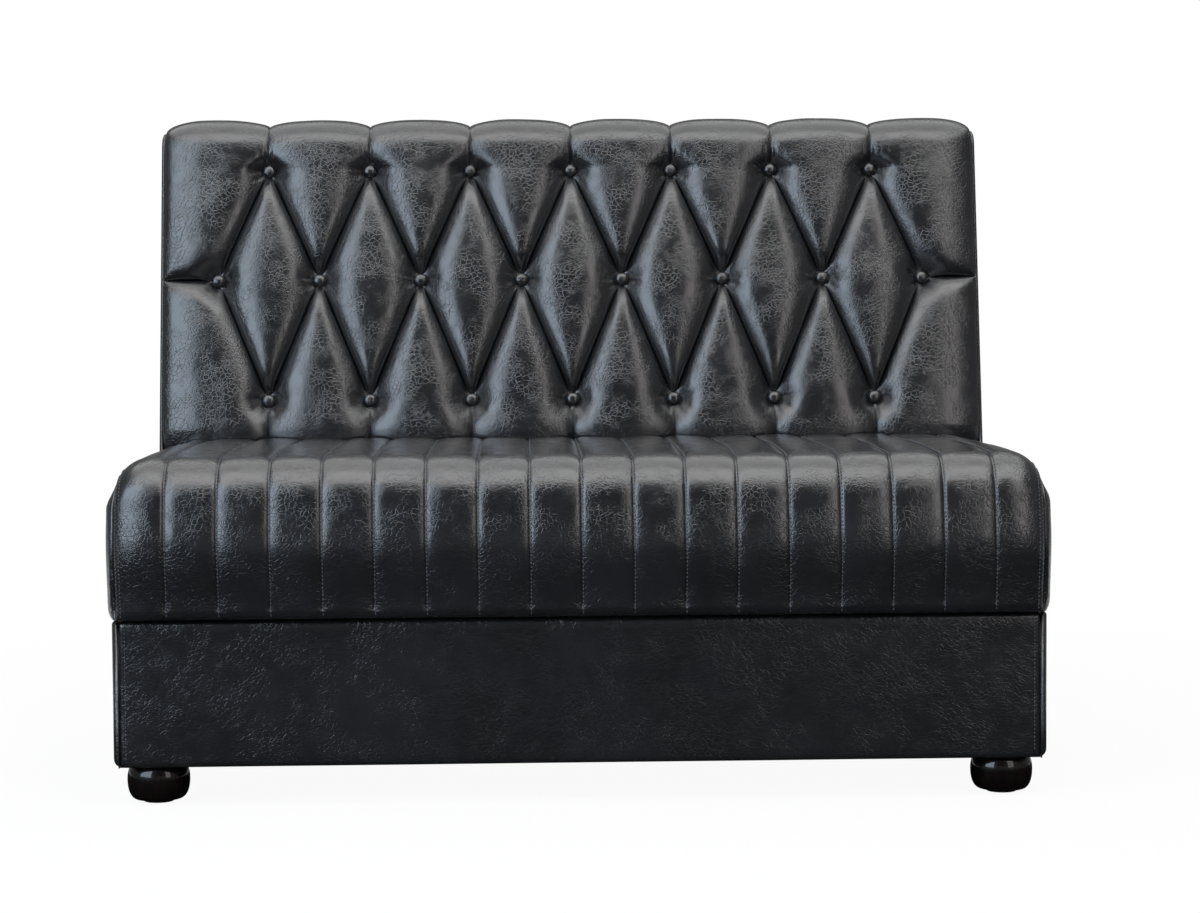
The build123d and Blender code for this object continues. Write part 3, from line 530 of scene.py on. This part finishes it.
def seat_skin(x, t):
    """The cover's face: ribs between the seams, a sagging top, a full front and rounded ends."""
    y, z, ny, nz = seat_section(t)
    top_end, nose_end, front_end, roll_end = path_ends[:4]
    from_seam = np.abs((x / channel) - np.rint(x / channel)) * channel
    groove = np.exp(-from_seam / groove_width) * groove_depth
    groove += np.exp(-(from_seam / rib_width) ** 2) * rib_depth
    dip = np.where(np.abs(x) < 8.5 * channel, groove, 0) + 0.5 * mm
    dip = dip * np.clip(1 - (t - front_end) / (foot_roll * 1.2), 0, 1)
    drop = end_drop * end_round(x, end_reach)
    set_back = corner_set_back * end_round(x, corner_reach)
    down_front = np.clip((t - nose_end + 24 * mm) / (front_end - nose_end + 34 * mm), 0, 1)
    bulge = front_bulge * np.sin(pi * down_front) ** 2
    sag = top_sag * np.clip((t - top_end + sag_length) / sag_length, 0, 1) ** 2
    sag = sag * np.clip((front_end - t) / (front_end - nose_end), 0, 1)
    lift = np.clip((z - seat_foot) / (seat_top - seat_foot), 0, 1)
    y_in = y - ny * dip + set_back * np.clip(-ny, 0, 1) - bulge
    z_in = z - nz * dip - drop * lift ** 3 - sag * (1 - past_reach(x, end_reach))
    points = np.stack([x, y_in, z_in], 1)
    wave = soft_waves(points, 0.09, 1.2 * mm, 2) + soft_waves(points, 0.035, 0.35 * mm, 3)
    wave = wave * np.clip(1 - (t - front_end) / foot_roll, 0, 1) - np.where(t > roll_end, -0.5 * mm, 0)
    points[:, 1] += ny * wave
    points[:, 2] += nz * wave
    return points


def backed(piece):
    """Gives an open cover the thickness of vinyl on its knitted backing."""
    skin = piece.modifiers.new("vinyl on knit", "SOLIDIFY")
    skin.thickness, skin.offset = 1.2 * mm, -1
    return piece


# Columns lie closest together at the seams, given in millimetres from each seam.
from_rib = np.array([0.0, 0.9, 1.9, 3.1, 4.6, 6.6, 9.4, 13.2, 18.2, 24.4, 32.9]) * mm
from_end = np.array([31, 24, 18, 13, 9, 6, 3.6, 1.8, 0.7, 0]) * mm
one_channel = np.concatenate([from_rib[:-1], channel - from_rib[:0:-1]])
seat_columns = np.concatenate([one_channel + k * channel for k in range(-8, 8)])
end_width = seat_half - 8 * channel
end_columns = seat_half - end_width + np.concatenate([from_rib[:-1], end_width - from_end])
seat_columns = np.concatenate([-end_columns[::-1], seat_columns[1:], end_columns])
seat_rows = np.concatenate([
    np.linspace(0, path_ends[0], 72)[:-1], np.linspace(path_ends[0], path_ends[1], 22)[:-1],
    np.linspace(path_ends[1], path_ends[2], 26)[:-1], np.linspace(path_ends[2], path_ends[3], 9)[:-1],
    np.linspace(path_ends[3], path_ends[4], 4),
])
bm = stretched_grid(seat_columns, seat_rows, seat_skin)
face_along(bm, Vector((0, 0, 1)))
seat_pad = backed(piece_from(bm, "seat_channelled_cushion", faux_leather))
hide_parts("seat_cover")


# Seam thread: black bonded polyester, lockstitched at 5 mm down every channel and
# along the side seams, coloured grey as painted sheen. The stitches are drawn 1.5 mm
# thick, coarser than the real 0.6 mm, so that they show, and lie on the right of each
# seam, where its allowance is folded.
bonded_thread, tree, shader = finish_for("bonded polyester thread, black with painted sheen", Roughness=0.3)
place = add(tree, "ShaderNodeTexCoord").outputs["Object"]
twist = add(tree, "ShaderNodeTexWave", [("Vector", place)], Scale=1 / (0.9 * mm), bands_direction="DIAGONAL")
# Painted sheen: the black thread is coloured grey, as it looks where it glints.
thread_painted_sheen = add(
    tree, "ShaderNodeValToRGB", [("Fac", twist.outputs["Fac"])], ((0.2, "#3a3c40"), (0.8, "#575a5f"))
)
tree.links.new(thread_painted_sheen.outputs["Color"], shader.inputs["Base Color"])
bump = add(tree, "ShaderNodeBump", [("Height", twist.outputs["Fac"])], Strength=0.5, Distance=0.2 * mm)
tree.links.new(bump.outputs["Normal"], shader.inputs["Normal"])

one_stitch = bmesh.new()
bmesh.ops.create_uvsphere(one_stitch, u_segments=6, v_segments=4, radius=1)
stitch_mesh = bpy.data.meshes.new("one stitch")
one_stitch.to_mesh(stitch_mesh)
one_stitch.free()
stitch_shape = np.array([v.co[:] for v in stitch_mesh.vertices])
stitch_pitch, stitch_length, stitch_thickness, stitch_proud = 5 * mm, 3.5 * mm, 1.5 * mm, 0.45 * mm


def sew(bm, points, outward):
    """Lays stitches along a line of points, just proud of the cover."""
    run = np.concatenate([[0], np.cumsum(np.linalg.norm(np.diff(points, axis=0), axis=1))])
    places = np.arange(stitch_pitch / 2, run[-1], stitch_pitch)
    centre, ahead, up = [
        np.column_stack([np.interp(places + shift, run, of[:, i]) for i in range(3)])
        for of, shift in ((points, 0), (points, 1 * mm), (outward, 0))
    ]
    along = ahead - centre
    along /= np.linalg.norm(along, axis=1)[:, None]
    across = np.cross(along, up)
    across /= np.linalg.norm(across, axis=1)[:, None]
    up = np.cross(across, along)
    half_sizes = across * stitch_thickness / 2, along * stitch_length / 2, up * stitch_thickness / 2
    for c, x, y, z in zip(centre + up * stitch_proud, *half_sizes):
        stitch_mesh.vertices.foreach_set("co", (stitch_shape @ np.stack([x, y, z]) + c).ravel())
        bm.from_mesh(stitch_mesh)


def seat_line(x, t):
    """Points and outward directions of the seat's cover down a seam at x."""
    _, _, ny, nz = seat_section(t)
    return seat_skin(np.full_like(t, x), t), np.column_stack([np.zeros_like(t), ny, nz])


sewn_length = np.linspace(25 * mm, path_ends[2] + 12 * mm, 120)
beside_seam = 1.6 * mm
bm = bmesh.new()
for k in range(-8, 9):
    sew(bm, *seat_line(k * channel + beside_seam, sewn_length))
for side in (-1, 1):
    for from_side_seam in (3.0 * mm, 7.5 * mm):
        sew(bm, *seat_line(side * (seat_half - from_side_seam), sewn_length))
piece_from(bm, "seat_channel_stitches", bonded_thread)
bm = bmesh.new()
corner_heights = np.linspace(base_low.z + 10 * mm, base_high.z - 3 * mm, 40)
for side in (-1, 1):
    corner = base_front(np.full_like(corner_heights, side * (base_high.x - 9 * mm)), corner_heights)
    sew(bm, corner, np.tile([0.0, -1.0, 0.0], (len(corner), 1)))
piece_from(bm, "base_corner_stitches", bonded_thread)


# Back cover: faux leather over wadding and foam, folded into pleats between covered
# buttons so that it stands up in diamond pillows. The top row turns over the back's
# edge and is stapled behind, and the bottom row is tucked down behind the seat.
recline = radians(9)
# The pleat plane starts at foot_y, foot_z and rolls over the top at slab from its axes.
foot_y, foot_z = 180 * mm, 420 * mm
slab = 16 * mm
roll_z = 877 * mm
rows_z = (843 * mm, 681 * mm, 505 * mm)
top_v, middle_v, bottom_v = [(z - foot_z) / cos(recline) for z in rows_z]
roll_v = (roll_z + slab * sin(recline) - foot_z) / cos(recline)
front_axis_y = foot_y + roll_v * sin(recline) + slab * cos(recline)
rear_axis_y = 281 * mm
bend_radius = 33 * mm
front_turn = (pi / 2 - recline) * bend_radius
flat_top = rear_axis_y - front_axis_y
path_end = roll_v + front_turn + flat_top + pi / 2 * bend_radius
side_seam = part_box("back_cover")[1].x
pitch = 2 * (side_seam - 5 * mm) / 8
half_pitch = pitch / 2
crown, pleat_low, pleat_high, pleat_over_top, pleat_at_foot = 28 * mm, 1.5 * mm, 7 * mm, 17 * mm, 11 * mm
tuck_length, tuck_depth = 45 * mm, 16 * mm
top_button_x = [k * pitch for k in range(-3, 4)]
middle_button_x = [(k + 0.5) * pitch for k in range(-4, 4)]
buttons = [(x, top_v) for x in top_button_x] + [(x, middle_v) for x in middle_button_x]
buttons += [(x, bottom_v) for x in top_button_x]


def on_back(x, v, h):
    """The point at x and at path length v up the back and over its top, h in front of the
    pleat plane."""
    x, v, h = np.broadcast_arrays(x, v, h)
    y, z = np.empty(x.shape), np.empty(x.shape)
    face = v <= roll_v
    y[face] = foot_y + v[face] * sin(recline) - h[face] * cos(recline)
    z[face] = foot_z + v[face] * cos(recline) + h[face] * sin(recline)
    first = (v > roll_v) & (v <= roll_v + front_turn)
    a = recline + (v[first] - roll_v) / bend_radius
    y[first] = front_axis_y - (slab + h[first]) * np.cos(a)
    z[first] = roll_z + (slab + h[first]) * np.sin(a)
    level = (v > roll_v + front_turn) & (v <= roll_v + front_turn + flat_top)
    y[level] = front_axis_y + v[level] - roll_v - front_turn
    z[level] = roll_z + slab + h[level]
    last = v > roll_v + front_turn + flat_top
    a = (v[last] - roll_v - front_turn - flat_top) / bend_radius
    y[last] = rear_axis_y + (slab + h[last]) * np.sin(a)
    z[last] = roll_z + (slab + h[last]) * np.cos(a)
    return np.stack([x, y, z], -1)


def arch(t):
    """A pillow's rise across it, from 0 at one pleat over 1 to 0 at the other."""
    return (1 - np.abs(2 * np.clip(t, 0, 1) - 1) ** 2.4) ** 0.68


def slant_height(v):
    """How high a pleat's fold stands between two buttons."""
    from_top = (v - middle_v) / (top_v - middle_v)
    from_foot = (v - bottom_v) / (middle_v - bottom_v)
    share = np.clip(np.where(v > middle_v, from_top, from_foot), 0, 1)
    return pleat_low + (pleat_high - pleat_low) * np.sin(pi * share) ** 1.6


def top_pleat_height(v):
    """The pleats rise within 30 mm above the top buttons and stand higher over the top."""
    return pleat_low + (pleat_over_top - pleat_low) * np.clip((v - top_v) / (30 * mm), 0, 1) ** 0.6


def foot_pleat_height(v):
    """They rise within 40 mm below the bottom buttons."""
    return pleat_low + (pleat_at_foot - pleat_low) * np.clip((bottom_v - v) / (40 * mm), 0, 1) ** 0.6


def rim_height(v):
    """How high the pleats stand at path length v."""
    below_top = np.where(v < bottom_v, foot_pleat_height(v), slant_height(v))
    return np.where(v > top_v, top_pleat_height(v), below_top)


def full_height(v, a, b, u):
    """Height of a pillow whose pleats stand a and b apart: narrow ends stay nearly as full as
    the middle."""
    width = np.clip((b[:, 0] - a[:, 0]) / pitch, 0, 1)
    rise = arch(u) * (1 - (1 - width) ** 2) ** 0.25
    return rim_height(v) * (1 - rise) + crown * rise


def pulled(x, v, h):
    """Lowers the pillows round each button and gathers them into small folds."""
    folds, free = np.zeros_like(x), np.ones_like(x)
    pit_floor, pit_edge, pit_slope, fold_ring = 1.5 * mm, 8 * mm, 12 * mm, 17 * mm
    gather_width, gather_height, fold_height = 8 * mm, 1.3 * mm, 0.8 * mm
    for k, (bx, bv) in enumerate(buttons):
        dx, dv = x - bx, v - bv
        if bv == top_v:
            # The top row pulls little above itself, apart from a few upright gathers.
            pinch = np.exp(-((dv - fold_ring) / (11 * mm)) ** 2 - (dx / (15 * mm)) ** 2)
            folds += pinch * np.cos(2 * pi * dx / gather_width + 0.8 * k) * gather_height
            dx = dx * (1 + 0.3 * np.clip(dv / (10 * mm), 0, 1))
            dv = np.where(dv > 0, dv * 2.0, dv)
        r = np.hypot(dx, dv)
        angle = np.arctan2(dv, dx)
        ring = np.exp(-((r - fold_ring) / (8 * mm)) ** 2)
        folds += ring * (np.cos(9 * angle + 1.7 * k) + 0.6 * np.cos(14 * angle + 2.9 * k)) * fold_height
        free = np.minimum(free, 1 - np.exp(-(np.clip(r - pit_edge, 0, None) / pit_slope) ** 1.3))
    h = pit_floor + (h - pit_floor) * free
    return h + folds * np.clip(h / (8 * mm), 0, 1)


def finish_pillow(x, v, h):
    """A pillow's points, pulled by the buttons, tucked in at the foot and slightly uneven."""
    h = pulled(x, v, h)
    h = h - tuck_depth * np.clip(1 - v / tuck_length, 0, 1) ** 1.5
    points = on_back(x, v, h)
    lift = on_back(x, v, h + 1 * mm) - points
    wave = soft_waves(points, 0.07, 1.0, 5) + 0.35 * soft_waves(points, 0.025, 1.0, 6)
    return points + lift * (wave * np.clip(h / crown, 0, 1) ** 2)[:, None]


def spread(count):
    """Shares from 0 to 1 that lie closer together at both ends."""
    t, gather = np.linspace(0, 1, count), 0.72
    return (1 - gather) * t + gather * (t - np.sin(2 * pi * t) / (2 * pi))


pillow_patches = []
slant_shares = spread(37)
flat_end, turn_end = roll_v + front_turn + flat_top, roll_v + front_turn
up_rows = np.concatenate([
    np.linspace(path_end, flat_end, 9)[:-1], np.linspace(flat_end, turn_end, 3)[:-1],
    np.linspace(turn_end, roll_v, 12)[:-1], np.linspace(roll_v, top_v, 9)[:-1],
])
down_rows = np.linspace(bottom_v, -12 * mm, 22)[1:]


def banded_pillow(left, right, height_of=full_height):
    """A pillow between a left and a right line of points, level by level."""
    left, right = np.array(left), np.array(right)

    def place_of(u, w):
        row = np.rint(w).astype(int)
        a, b = left[row], right[row]
        x = a[:, 0] * (1 - u) + b[:, 0] * u
        v = a[:, 1] * (1 - u) + b[:, 1] * u
        return finish_pillow(x, v, height_of(v, a, b, u))

    pillow_patches.append(stretched_grid(spread(33), np.arange(len(left)), place_of))


def slanted(x_start, x_end, v_start, v_end):
    """Points down a pleat from one button to the next."""
    return [(x_start + (x_end - x_start) * s, v_start + (v_end - v_start) * s) for s in slant_shares]


def diamond_pillow(x):
    """A whole diamond from a top button down to the bottom one."""
    banded_pillow(*[
        slanted(x, x + reach, top_v, middle_v) + slanted(x + reach, x, middle_v, bottom_v)[1:]
        for reach in (-half_pitch, half_pitch)
    ])


def upper_pillow(x):
    """A pillow over two top buttons and a middle one, turned over the back's edge."""
    banded_pillow(*[
        [(end, v) for v in up_rows] + slanted(end, x + half_pitch, top_v, middle_v)
        for end in (x, x + pitch)
    ])


def lower_pillow(x):
    """A pillow from a middle button down behind the seat."""
    banded_pillow(*[
        slanted(x + half_pitch, end, middle_v, bottom_v) + [(end, v) for v in down_rows]
        for end in (x, x + pitch)
    ])


def seam_height(v):
    """The side seam's height above the pleat plane: it stands out further where it meets the
    rear panel."""
    in_front, further_behind = 8 * mm, 14 * mm
    return in_front + further_behind * np.clip(1 - (path_end - v) / (pi / 2 * bend_radius), 0, 1)


def end_pillow(side, upper):
    """The broad pillow between the outermost buttons and the side seam."""
    last_x, tip_x, seam_x = 3 * pitch * side, 3.5 * pitch * side, side_seam * side
    fold_reach, seam_reach = 42 * mm, 64 * mm
    if upper:
        inner = [(last_x, v) for v in up_rows] + slanted(last_x, tip_x, top_v, middle_v)
    else:
        inner = slanted(tip_x, last_x, middle_v, bottom_v) + [(last_x, v) for v in down_rows]

    def height_of(v, a, b, u):
        from_fold = np.clip(np.abs(v - middle_v) / fold_reach, 0, 1)
        x = a[:, 0] * (1 - u) + b[:, 0] * u
        to_seam = np.clip((side_seam - np.abs(x)) / seam_reach, 0, 1)
        pleat_side = (1 - (1 - np.clip(u, 0, 0.5) * 2) ** 2.4) ** 0.6
        seam_side = (1 - (1 - to_seam) ** 2) ** 0.5
        fold_side = (1 - (1 - from_fold) ** 2.6) ** 0.42
        rise = pleat_side * fold_side
        low = rim_height(v) * (1 - u) + pleat_high * 0.75 * u
        h = low * (1 - rise) + crown * rise
        return seam_height(v) * (1 - seam_side) + h * seam_side

    banded_pillow(inner, [(seam_x, v) for _, v in inner], height_of)


for x in top_button_x:
    diamond_pillow(x)
for x in top_button_x[:-1]:
    upper_pillow(x)
    lower_pillow(x)
for side in (-1, 1):
    end_pillow(side, True)
    end_pillow(side, False)

bm = bmesh.new()
for patch in pillow_patches:
    mesh = bpy.data.meshes.new("pillow patch")
    patch.to_mesh(mesh)
    patch.free()
    bm.from_mesh(mesh)
    bpy.data.meshes.remove(mesh)
for edge in bm.edges:
    edge.smooth = not edge.is_boundary
bmesh.ops.remove_doubles(bm, verts=bm.verts, dist=0.05 * mm)
face_along(bm, Vector((0, -1, 0)))
tufted_back = backed(piece_from(bm, "back_tufted_cushion", faux_leather))
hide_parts("back_cover")


# Buttons: steel shells covered in the same faux leather, pulled into the pleats' meeting
# points by their twines.
button_profile = [
    (0, 7.0), (3.4, 6.8), (6.3, 6.0), (8.4, 4.4), (9.4, 2.4), (9.5, 0.8), (9.0, -0.6), (6.6, -2.0), (0, -2.0),
]
button_height = 2.8 * mm
to_back = Matrix.Rotation(pi / 2 - recline, 3, "X")
bm = bmesh.new()
for x, v in buttons:
    pulled_to = Vector(on_back(np.array(x), np.array(v), np.array(button_height)))
    ring = [bm.verts.new((r * mm, 0, z * mm)) for r, z in button_profile]
    edges = [bm.edges.new(pair) for pair in zip(ring, ring[1:])]
    bmesh.ops.spin(
        bm, geom=ring + edges, cent=(0, 0, 0), axis=(0, 0, 1), angle=2 * pi, steps=24, use_merge=True
    )
    bmesh.ops.remove_doubles(bm, verts=[vert for vert in bm.verts if not vert.tag], dist=0.01 * mm)
    for vert in bm.verts:
        if not vert.tag:
            vert.co = to_back @ vert.co + pulled_to
            vert.tag = True
bmesh.ops.recalc_face_normals(bm, faces=bm.faces)
covered_buttons = piece_from(bm, "back_covered_buttons", faux_leather)
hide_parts("back_buttons")


# Side and rear panels: single layers of faux leather over thin wadding that close the
# seat's and the back's ends and the rear, sewn to the cushions' edges. The seat's side
# seams are topstitched.
def settled(piece, held, slack, most):
    """Lets a cover settle over its filling as cloth, with its held points fixed and no point
    moving past most."""
    places = np.empty(len(piece.data.vertices) * 3)
    piece.data.vertices.foreach_get("co", places)
    places = places.reshape(-1, 3)
    piece.vertex_groups.new(name="sewn down").add([int(i) for i in held], 1.0, "REPLACE")
    cloth = piece.modifiers.new("cover", "CLOTH")
    vinyl = cloth.settings
    vinyl.quality, vinyl.mass, vinyl.bending_stiffness = 4, 0.3, 0.4
    vinyl.use_pressure, vinyl.uniform_pressure_force, vinyl.shrink_min = True, 4.0, -slack
    vinyl.vertex_group_mass = "sewn down"
    vinyl.effector_weights.gravity = 0
    cloth.collision_settings.use_collision = False
    last_frame = 20
    for frame_number in range(1, last_frame + 1):
        scene.frame_set(frame_number)
    shape = piece.evaluated_get(bpy.context.evaluated_depsgraph_get()).data
    moved = np.empty(places.size)
    shape.vertices.foreach_get("co", moved)
    move = moved.reshape(-1, 3) - places
    length = np.linalg.norm(move, axis=1)[:, None]
    piece.modifiers.remove(cloth)
    piece.vertex_groups.clear()
    scene.frame_set(1)
    move *= np.minimum(1, most / np.maximum(length, 1e-9))
    piece.data.vertices.foreach_set("co", (places + move).ravel())
    piece.data.update()


seat_path = np.concatenate([
    np.linspace(0, path_ends[0], 30)[:-1], np.linspace(path_ends[0], path_ends[1], 22)[:-1],
    np.linspace(path_ends[1], path_ends[2], 16)[:-1], np.linspace(path_ends[2], path_ends[3], 8),
])
seat_side_depths = np.concatenate([
    [0, 0.006, 0.015, 0.03, 0.05, 0.08, 0.12], np.linspace(0.17, 0.97, 18), [0.985, 1],
])
side_bulge, side_round, nose_depth, foot_round = 14 * mm, 34 * mm, 34 * mm, 16 * mm
for side, name in ((1, "seat_right_boxing"), (-1, "seat_left_boxing")):
    seam = seat_skin(np.full(seat_path.shape, side * seat_half), seat_path)[:, 1:]

    def seat_side(t, w):
        """The panel's point at share w of the way from the seam at t down to its foot line."""
        column = np.searchsorted(seat_path, t - 1e-9)
        share = (t / seat_path[-1])[:, None]
        along_foot = seat_rear + (seat_front + foot_roll - seat_rear) * share
        foot_line = np.hstack([along_foot, np.full_like(share, seat_foot)])
        flat = seam[column] * (1 - w[:, None]) + foot_line * w[:, None]
        gap = np.sqrt(((flat[:, None, :] - seam[None]) ** 2).sum(2)).min(1)
        gap = np.minimum(gap, (seat_rear - flat[:, 0]) * 8 + 10 * mm)
        rise = (1 - (1 - np.clip(gap / side_round, 0, 1)) ** 2.2) ** 0.6
        below_nose = np.clip((seat_top - nose_depth - flat[:, 1]) / (38 * mm), 0, 1)
        rise *= 0.2 + 0.8 * below_nose ** 2 * (3 - 2 * below_nose)
        low = 1 - np.clip((flat[:, 1] - seat_foot) / foot_round, 0, 1)
        rise *= 0.4 + 0.6 * np.sqrt(1 - low ** 2)
        return np.column_stack([side * (seat_half + side_bulge * rise), flat])

    bm = stretched_grid(seat_path, seat_side_depths, seat_side)
    face_along(bm, Vector((side, 0, 0)))
    edge_points = [vert.index for vert in bm.verts if vert.is_boundary]
    seat_end = piece_from(bm, name.replace("boxing", "side"), faux_leather)
    settled(seat_end, edge_points, slack=0.012, most=4 * mm)
    backed(seat_end)
    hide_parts(name)

back_side_steps = [(0.8, 1.4), (2, 1.2), (4, 0.8), (10, 0.4)]
levels = np.concatenate([np.linspace(5 * mm, roll_v, 20), np.linspace(roll_v, path_end, 40)[1:]])
for side, name in ((1, "back_right_boxing"), (-1, "back_left_boxing")):
    low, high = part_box(name)
    edge = on_back(np.full(levels.shape, side * side_seam), levels, seam_height(levels))[:, 1:]
    corners = [(high.y, low.z), (low.y, low.z), (low.y, edge[0][1] - 8 * mm)]
    outline = [(side * side_seam, y, z) for y, z in [*edge, *corners]]
    bulged_panel(name.replace("boxing", "side"), outline, (side, 0, 0), 2 * mm, back_side_steps, name)

low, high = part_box("back_rear_panel")
rear_steps = [(0.6, 1.4), (1.8, 1.0), (4, 0.5), (12, 0.1)]
outline = [(x, low.y, z) for x, z in ((low.x, low.z), (high.x, low.z), (high.x, high.z), (low.x, high.z))]
bulged_panel("back_rear_cover_panel", outline, (0, 1, 0), 3 * mm, rear_steps, "back_rear_panel")


# Studio: a pale floor before plain white, two softboxes at the sides, two wide soft
# lights overhead, three cards that keep the studio's white out of the front's
# reflections, and the camera at the photograph's viewpoint.
def stand(name, mesh, material):
    """Puts a thing of the studio in place, apart from the bench."""
    mesh.materials.append(material)
    holder = bpy.data.objects.new(name, mesh)
    scene.collection.objects.link(holder)
    return holder


bm = bmesh.new()
bmesh.ops.create_grid(bm, x_segments=1, y_segments=1, size=1)
bmesh.ops.scale(bm, verts=bm.verts, vec=(5, 3.5, 1))
bmesh.ops.translate(bm, verts=bm.verts, vec=(0, 2.45, 0))
mesh = bpy.data.meshes.new("studio_floor")
bm.to_mesh(mesh)
bm.free()
floor_paint, tree, shader = finish_for(
    "studio floor, pale matt paint", Roughness=0.9, Specular_IOR_Level=0.0
)
shader.inputs["Base Color"].default_value = linear("#d9d9d9")
# The camera sees it nearly white, wholly so from 2 m out; mirrors see a duller white.
place = add(tree, "ShaderNodeTexCoord").outputs["Object"]
way_out = add(tree, "ShaderNodeVectorMath", [("Vector", place)], operation="LENGTH")
fade = add(
    tree, "ShaderNodeMapRange", [("Value", way_out.outputs["Value"])], From_Min=0.7, From_Max=2.0, To_Min=0.94
)
rays = add(tree, "ShaderNodeLightPath")
seen = add(
    tree, "ShaderNodeMath", [(0, rays.outputs["Is Camera Ray"]), (1, fade.outputs[0])], operation="MULTIPLY"
)
mirrored = add(
    tree, "ShaderNodeMath", [(0, rays.outputs["Is Glossy Ray"]), (1, rays.outputs["Is Transmission Ray"])],
    operation="MAXIMUM",
)
dulled = add(tree, "ShaderNodeMath", [(0, mirrored.outputs[0])], operation="MULTIPLY")
dulled.inputs[1].default_value = 0.16
level = add(tree, "ShaderNodeMath", [(0, seen.outputs[0]), (1, dulled.outputs[0])], operation="MAXIMUM")
white = add(tree, "ShaderNodeEmission", Strength=1.0)
shown = add(
    tree, "ShaderNodeMixShader", [(0, level.outputs[0]), (1, shader.outputs[0]), (2, white.outputs[0])]
)
tree.links.new(shown.outputs[0], tree.nodes["Material Output"].inputs["Surface"])
stand("studio_floor", mesh, floor_paint)

world = bpy.data.worlds.new("white studio")
scene.world = world
world.use_nodes = True
tree = world.node_tree
sky = tree.nodes["Background"]
sky.inputs["Color"].default_value = (1, 1, 1, 1)
rays = add(tree, "ShaderNodeLightPath")
seen = add(
    tree, "ShaderNodeMath", [(0, rays.outputs["Is Camera Ray"]), (1, rays.outputs["Is Transmission Ray"])],
    operation="MAXIMUM",
)
level = add(tree, "ShaderNodeMapRange", [("Value", seen.outputs[0])], To_Min=0.15, To_Max=1.0)
tree.links.new(level.outputs[0], sky.inputs["Strength"])

card_black, card_grey = "#1c1c1c", "#8c8f92"
for name, low, high, colour in (
    ("black_floor_card", (-2.6, -4.4, 0.0005), (2.6, 0.33, 0.001), card_black),
    ("grey_upright_card", (-2.6, -4.42, 0), (2.6, -4.4, 1.1), card_grey),
    ("black_upright_card", (-2.6, -4.42, 1.1), (2.6, -4.4, 2.65), card_black),
):
    low, high = Vector(low), Vector(high)
    bm = bmesh.new()
    bmesh.ops.create_cube(bm, size=1)
    bmesh.ops.scale(bm, verts=bm.verts, vec=high - low)
    bmesh.ops.translate(bm, verts=bm.verts, vec=(high + low) / 2)
    mesh = bpy.data.meshes.new(name)
    bm.to_mesh(mesh)
    bm.free()
    flock, tree, shader = finish_for(name + " flock", Roughness=1.0, Specular_IOR_Level=0.0)
    shader.inputs["Base Color"].default_value = linear(colour)
    card = stand(name, mesh, flock)
    card.visible_camera = card.visible_shadow = card.visible_diffuse = False

for name, place, target, width, height, power, colour in (
    ("left softbox", (-2.3, -2.2, 1.45), (0, 0.1, 0.75), 2.2, 2.1, 58, "#d5e6f8"),
    ("right softbox", (1.75, -2.7, 1.45), (0, 0.1, 0.75), 1.1, 2.1, 13, "#f2ecea"),
    ("overhead softbox", (0, -1.8, 2.7), (0, -1.8, 0), 4.6, 2.2, 98, "#ffffff"),
    ("rear overhead softbox", (0, 0.5, 2.7), (0, 0.5, 0), 4.6, 2.4, 50, "#ffffff"),
):
    lamp = bpy.data.lights.new(name, "AREA")
    lamp.shape, lamp.size, lamp.size_y, lamp.energy = "RECTANGLE", width, height, power
    lamp.color = linear(colour)[:3]
    holder = bpy.data.objects.new(name, lamp)
    scene.collection.objects.link(holder)
    holder.location = place
    holder.rotation_euler = (Vector(target) - Vector(place)).to_track_quat("-Z", "Y").to_euler()

# The focal length and the picture's width are in its pixels, the angles in radians.
focal_length, picture_width = 2490.7, 1200
viewpoint, pan, tilt, roll = (-0.0729, -3.4718, 0.5938), -0.0307, -0.04744, -0.00664
lens = bpy.data.cameras.new("studio camera")
lens.sensor_width, lens.lens = 36, 36 * focal_length / picture_width
camera = bpy.data.objects.new("studio camera", lens)
scene.collection.objects.link(camera)
camera.matrix_world = (
    Matrix.Translation(viewpoint) @ Matrix.Rotation(pan, 4, "Z")
    @ Matrix.Rotation(pi / 2 + tilt, 4, "X") @ Matrix.Rotation(roll, 4, "Z")
)
scene.camera = camera

scene.view_settings.view_transform = "Standard"
